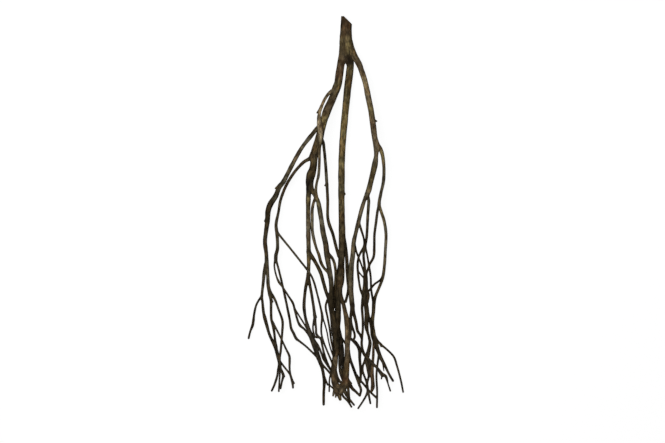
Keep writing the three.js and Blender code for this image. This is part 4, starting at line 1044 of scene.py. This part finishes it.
def shade_and_dirt_group():
    group, given, made = new_tree("shade_and_dirt", "ShaderNodeTree",
                                  {"Clean": "Color", "Shade and dirt": "Color", "Fork": "Float"}, {"Colour": "Color"})
    normal = add_node(group, "ShaderNodeNewGeometry")
    upright = add_node(group, "ShaderNodeSeparateXYZ", {0: normal.outputs["Normal"]})
    # share of painted shade: the sides and underside by how far a face looks up, the forks by how deep a
    # point sits in one, where some dirt lies too
    share = combined(group, "MAXIMUM", fitted(group, upright.outputs["Z"], *UNDERSIDE_PAINTED_SHADE),
                     fitted(group, given.outputs["Fork"], *FORK_SHADE_AND_DIRT))
    group.links.new(mix_colour(group, "MIX", share, given.outputs["Clean"], given.outputs["Shade and dirt"]),
                    made.inputs["Colour"])
    return group


SHADE_AND_DIRT = shade_and_dirt_group()
print(SHADE_AND_DIRT.name, "has", len(SHADE_AND_DIRT.nodes), "nodes")

# %% The bark
# colour of the painted shade, which also stands for the dirt in the forks
SHADE_AND_DIRT_COLOUR = (0.018, 0.0135, 0.0085, 1)
BARK_BUMP = (0.35 * MM, 0.7)  # depth and strength


def dress_bark(material):
    shader = shader_of(material, {"Specular IOR Level": DRY_GLOSS})
    tree = material.node_tree
    streaks = add_node(tree, "ShaderNodeGroup", {"Grain": named_attribute(tree, "grain", "FLOAT_VECTOR"),
                                                 "Tone": named_attribute(tree, "bark_tone_and_shade", "FLOAT_COLOR")},
                       node_tree=STREAKS)
    # painted shade on the sides, underside and forks, with some dirt in the forks
    shade_and_dirt = add_node(tree, "ShaderNodeGroup", {"Clean": streaks.outputs["Colour"], "Shade and dirt": SHADE_AND_DIRT_COLOUR,
                                              "Fork": named_attribute(tree, "fork")}, node_tree=SHADE_AND_DIRT)
    tree.links.new(shade_and_dirt.outputs["Colour"], shader.inputs["Base Color"])
    tree.links.new(streaks.outputs["Roughness"], shader.inputs["Roughness"])
    tree.links.new(bumped(tree, streaks.outputs["Height"], *BARK_BUMP), shader.inputs["Normal"])


dress_bark(bark)
print("bark has", len(bark.node_tree.nodes), "nodes")

# %% [markdown]
# ## The sawn wood
# The saw laid bare the crown's wood: pale year rings round the pith, crossed by saw marks and darkened by
# painted shade, as the face looks sideways.
# Rings could be cut into the face, but they are finer than its loops.
# So a wave that spreads from the pith colours them, and the painted shade comes from the bark's own group.

# %% The sawn wood's finish
CUT_MIDDLE = (346.6, 19.5, 12.2)  # the pith on the cut, in pixels and millimetres
YEAR_RINGS = {"Scale": 820 / 3, "Distortion": 2.2, "Detail": 2.0, "Detail Scale": 1.5}  # scale per metre
EARLY_WOOD = (0.36, 0.255, 0.15, 1)
LATE_WOOD = (0.21, 0.135, 0.072, 1)
# painted shade on the sawn face, which looks sideways and so takes the side shade
CUT_PAINTED_SHADE = (0.10, 0.07, 0.042, 1)
SAW_MARKS = ((1, 1, 0.05), 900, 2, 7.0)  # stretch, scale per metre, detail, seed
SAW_MARK_RANGE = (0.55, 0.4)
SAW_MARK_SHADE = (0.5, 0.47, 0.44, 1)
SAW_BUMP = 0.2 * MM
CUT_ROUGHNESS = 0.9


def dress_cut(material):
    shader = shader_of(material, {"Roughness": CUT_ROUGHNESS, "Specular IOR Level": DRY_GLOSS})
    tree = material.node_tree
    position = add_node(tree, "ShaderNodeTexCoord")
    to_pith = [-value for value in place(*CUT_MIDDLE)]
    centred = add_node(tree, "ShaderNodeMapping", {"Vector": position.outputs["Object"], "Location": to_pith})
    rings = add_node(tree, "ShaderNodeTexWave", {"Vector": centred.outputs[0], **YEAR_RINGS},
                     wave_type="RINGS", rings_direction="Y")
    wood = mix_colour(tree, "MIX", rings.outputs["Fac"], LATE_WOOD, EARLY_WOOD)
    marks = stretched_noise(tree, centred.outputs[0], *SAW_MARKS, FINISH_ROUGHNESS)
    worn = mix_colour(tree, "MULTIPLY", fitted(tree, marks, *SAW_MARK_RANGE), wood, SAW_MARK_SHADE)
    # the sawn face takes only the painted side shade, as it has no fork share
    shade_and_dirt = add_node(tree, "ShaderNodeGroup", {"Clean": worn, "Shade and dirt": CUT_PAINTED_SHADE}, node_tree=SHADE_AND_DIRT)
    tree.links.new(shade_and_dirt.outputs["Colour"], shader.inputs["Base Color"])
    tree.links.new(bumped(tree, marks, SAW_BUMP), shader.inputs["Normal"])


dress_cut(cut_wood)
print("sawn wood has", len(cut_wood.node_tree.nodes), "nodes")

# %% [markdown]
# ## Floor, light and camera
# The photograph looks straight down on the root, on a white ground with hardly a shadow.
# A long lens from far above keeps the roots' thickness true from edge to edge.
# One broad soft light hangs above the root.
# It lights the bark from the camera's side, so the bark darkens to its edges, and painted shade on the sides
# darkens them further.

# %% Floor
FLOOR_SIZE = 12.0  # metres
FLOOR_DROP = 0.3 * MM
WHITE = (1, 1, 1, 1)
PAPER_GREY = (0.07, 0.07, 0.07, 1)
PAPER_GLOW = 0.92
PAPER_ROUGHNESS = 0.95


def make_floor():
    half = FLOOR_SIZE / 2
    corners = [(x * half, y * half, -FLOOR_DROP) for x, y in ((-1, -1), (1, -1), (1, 1), (-1, 1))]
    mesh = bpy.data.meshes.new("floor")
    mesh.from_pydata(corners, [], [(0, 1, 2, 3)])
    paper = bpy.data.materials.new("white_paper")
    shader_of(paper, {"Base Color": PAPER_GREY, "Emission Color": WHITE, "Emission Strength": PAPER_GLOW,
                      "Roughness": PAPER_ROUGHNESS, "Specular IOR Level": 0})
    mesh.materials.append(paper)
    floor = add_object("floor", mesh)
    floor.visible_diffuse = False  # the white paper doesn't light the bark from below
    floor.visible_glossy = False
    return floor


floor = make_floor()
print("floor of", FLOOR_SIZE, "m")

# %% Light
KEY_SIZE = 2.6  # metres
KEY_PLACE = (-0.5, 0.5, 3.6)
KEY_POWER = 200  # watts
ROOM_LIGHT = (-0.1, 0.9, 0, 0.09)  # from how far a direction looks up, to the room's light there


def make_light():
    lamp = bpy.data.lights.new("softbox", "AREA")
    lamp.shape = "DISK"
    lamp.size = KEY_SIZE
    lamp.energy = KEY_POWER
    softbox = add_object("softbox", lamp)
    softbox.location = KEY_PLACE
    softbox.rotation_euler = Vector(KEY_PLACE).to_track_quat("Z", "Y").to_euler()


def make_room():
    world = bpy.data.worlds.new("soft_room")
    world.use_nodes = True
    tree = world.node_tree
    direction = add_node(tree, "ShaderNodeTexCoord")
    parts = add_node(tree, "ShaderNodeSeparateXYZ", {0: direction.outputs["Generated"]})
    background = tree.nodes["Background"]
    tree.links.new(fitted(tree, parts.outputs["Z"], *ROOM_LIGHT), background.inputs["Strength"])
    background.inputs["Color"].default_value = WHITE
    bpy.context.scene.world = world


make_light()
make_room()
print("softbox of", KEY_SIZE, "m and", KEY_POWER, "W")

# %% Camera
IMAGE_WIDTH = 665
IMAGE_HEIGHT = 443
CAMERA_HEIGHT = 12.0  # metres
CLIP_END = 100  # metres
SENSOR = 36.0  # millimetres
MIDDLE_HEIGHT = 0.045  # metres, where the picture's scale is exact
ROW_TRIM = -0.15  # pixels that the picture is moved down by


def make_camera():
    lens = bpy.data.cameras.new("camera")
    lens.sensor_fit = "HORIZONTAL"
    lens.sensor_width = SENSOR
    lens.lens = SENSOR * (CAMERA_HEIGHT - MIDDLE_HEIGHT) / (IMAGE_WIDTH * PIXEL)
    lens.clip_end = CLIP_END
    camera = add_object("camera", lens)
    aim_x, aim_y, _ = place(IMAGE_WIDTH / 2, IMAGE_HEIGHT / 2 - ROW_TRIM, 0)
    camera.location = (aim_x, aim_y, CAMERA_HEIGHT)
    bpy.context.scene.camera = camera
    return camera


camera = make_camera()
bpy.context.scene.view_settings.view_transform = "Standard"
print("lens of", round(camera.data.lens), "mm at", CAMERA_HEIGHT, "m")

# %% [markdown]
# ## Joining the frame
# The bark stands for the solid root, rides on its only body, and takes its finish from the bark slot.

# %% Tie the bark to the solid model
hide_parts("dry_root")
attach(dry_root, "root")
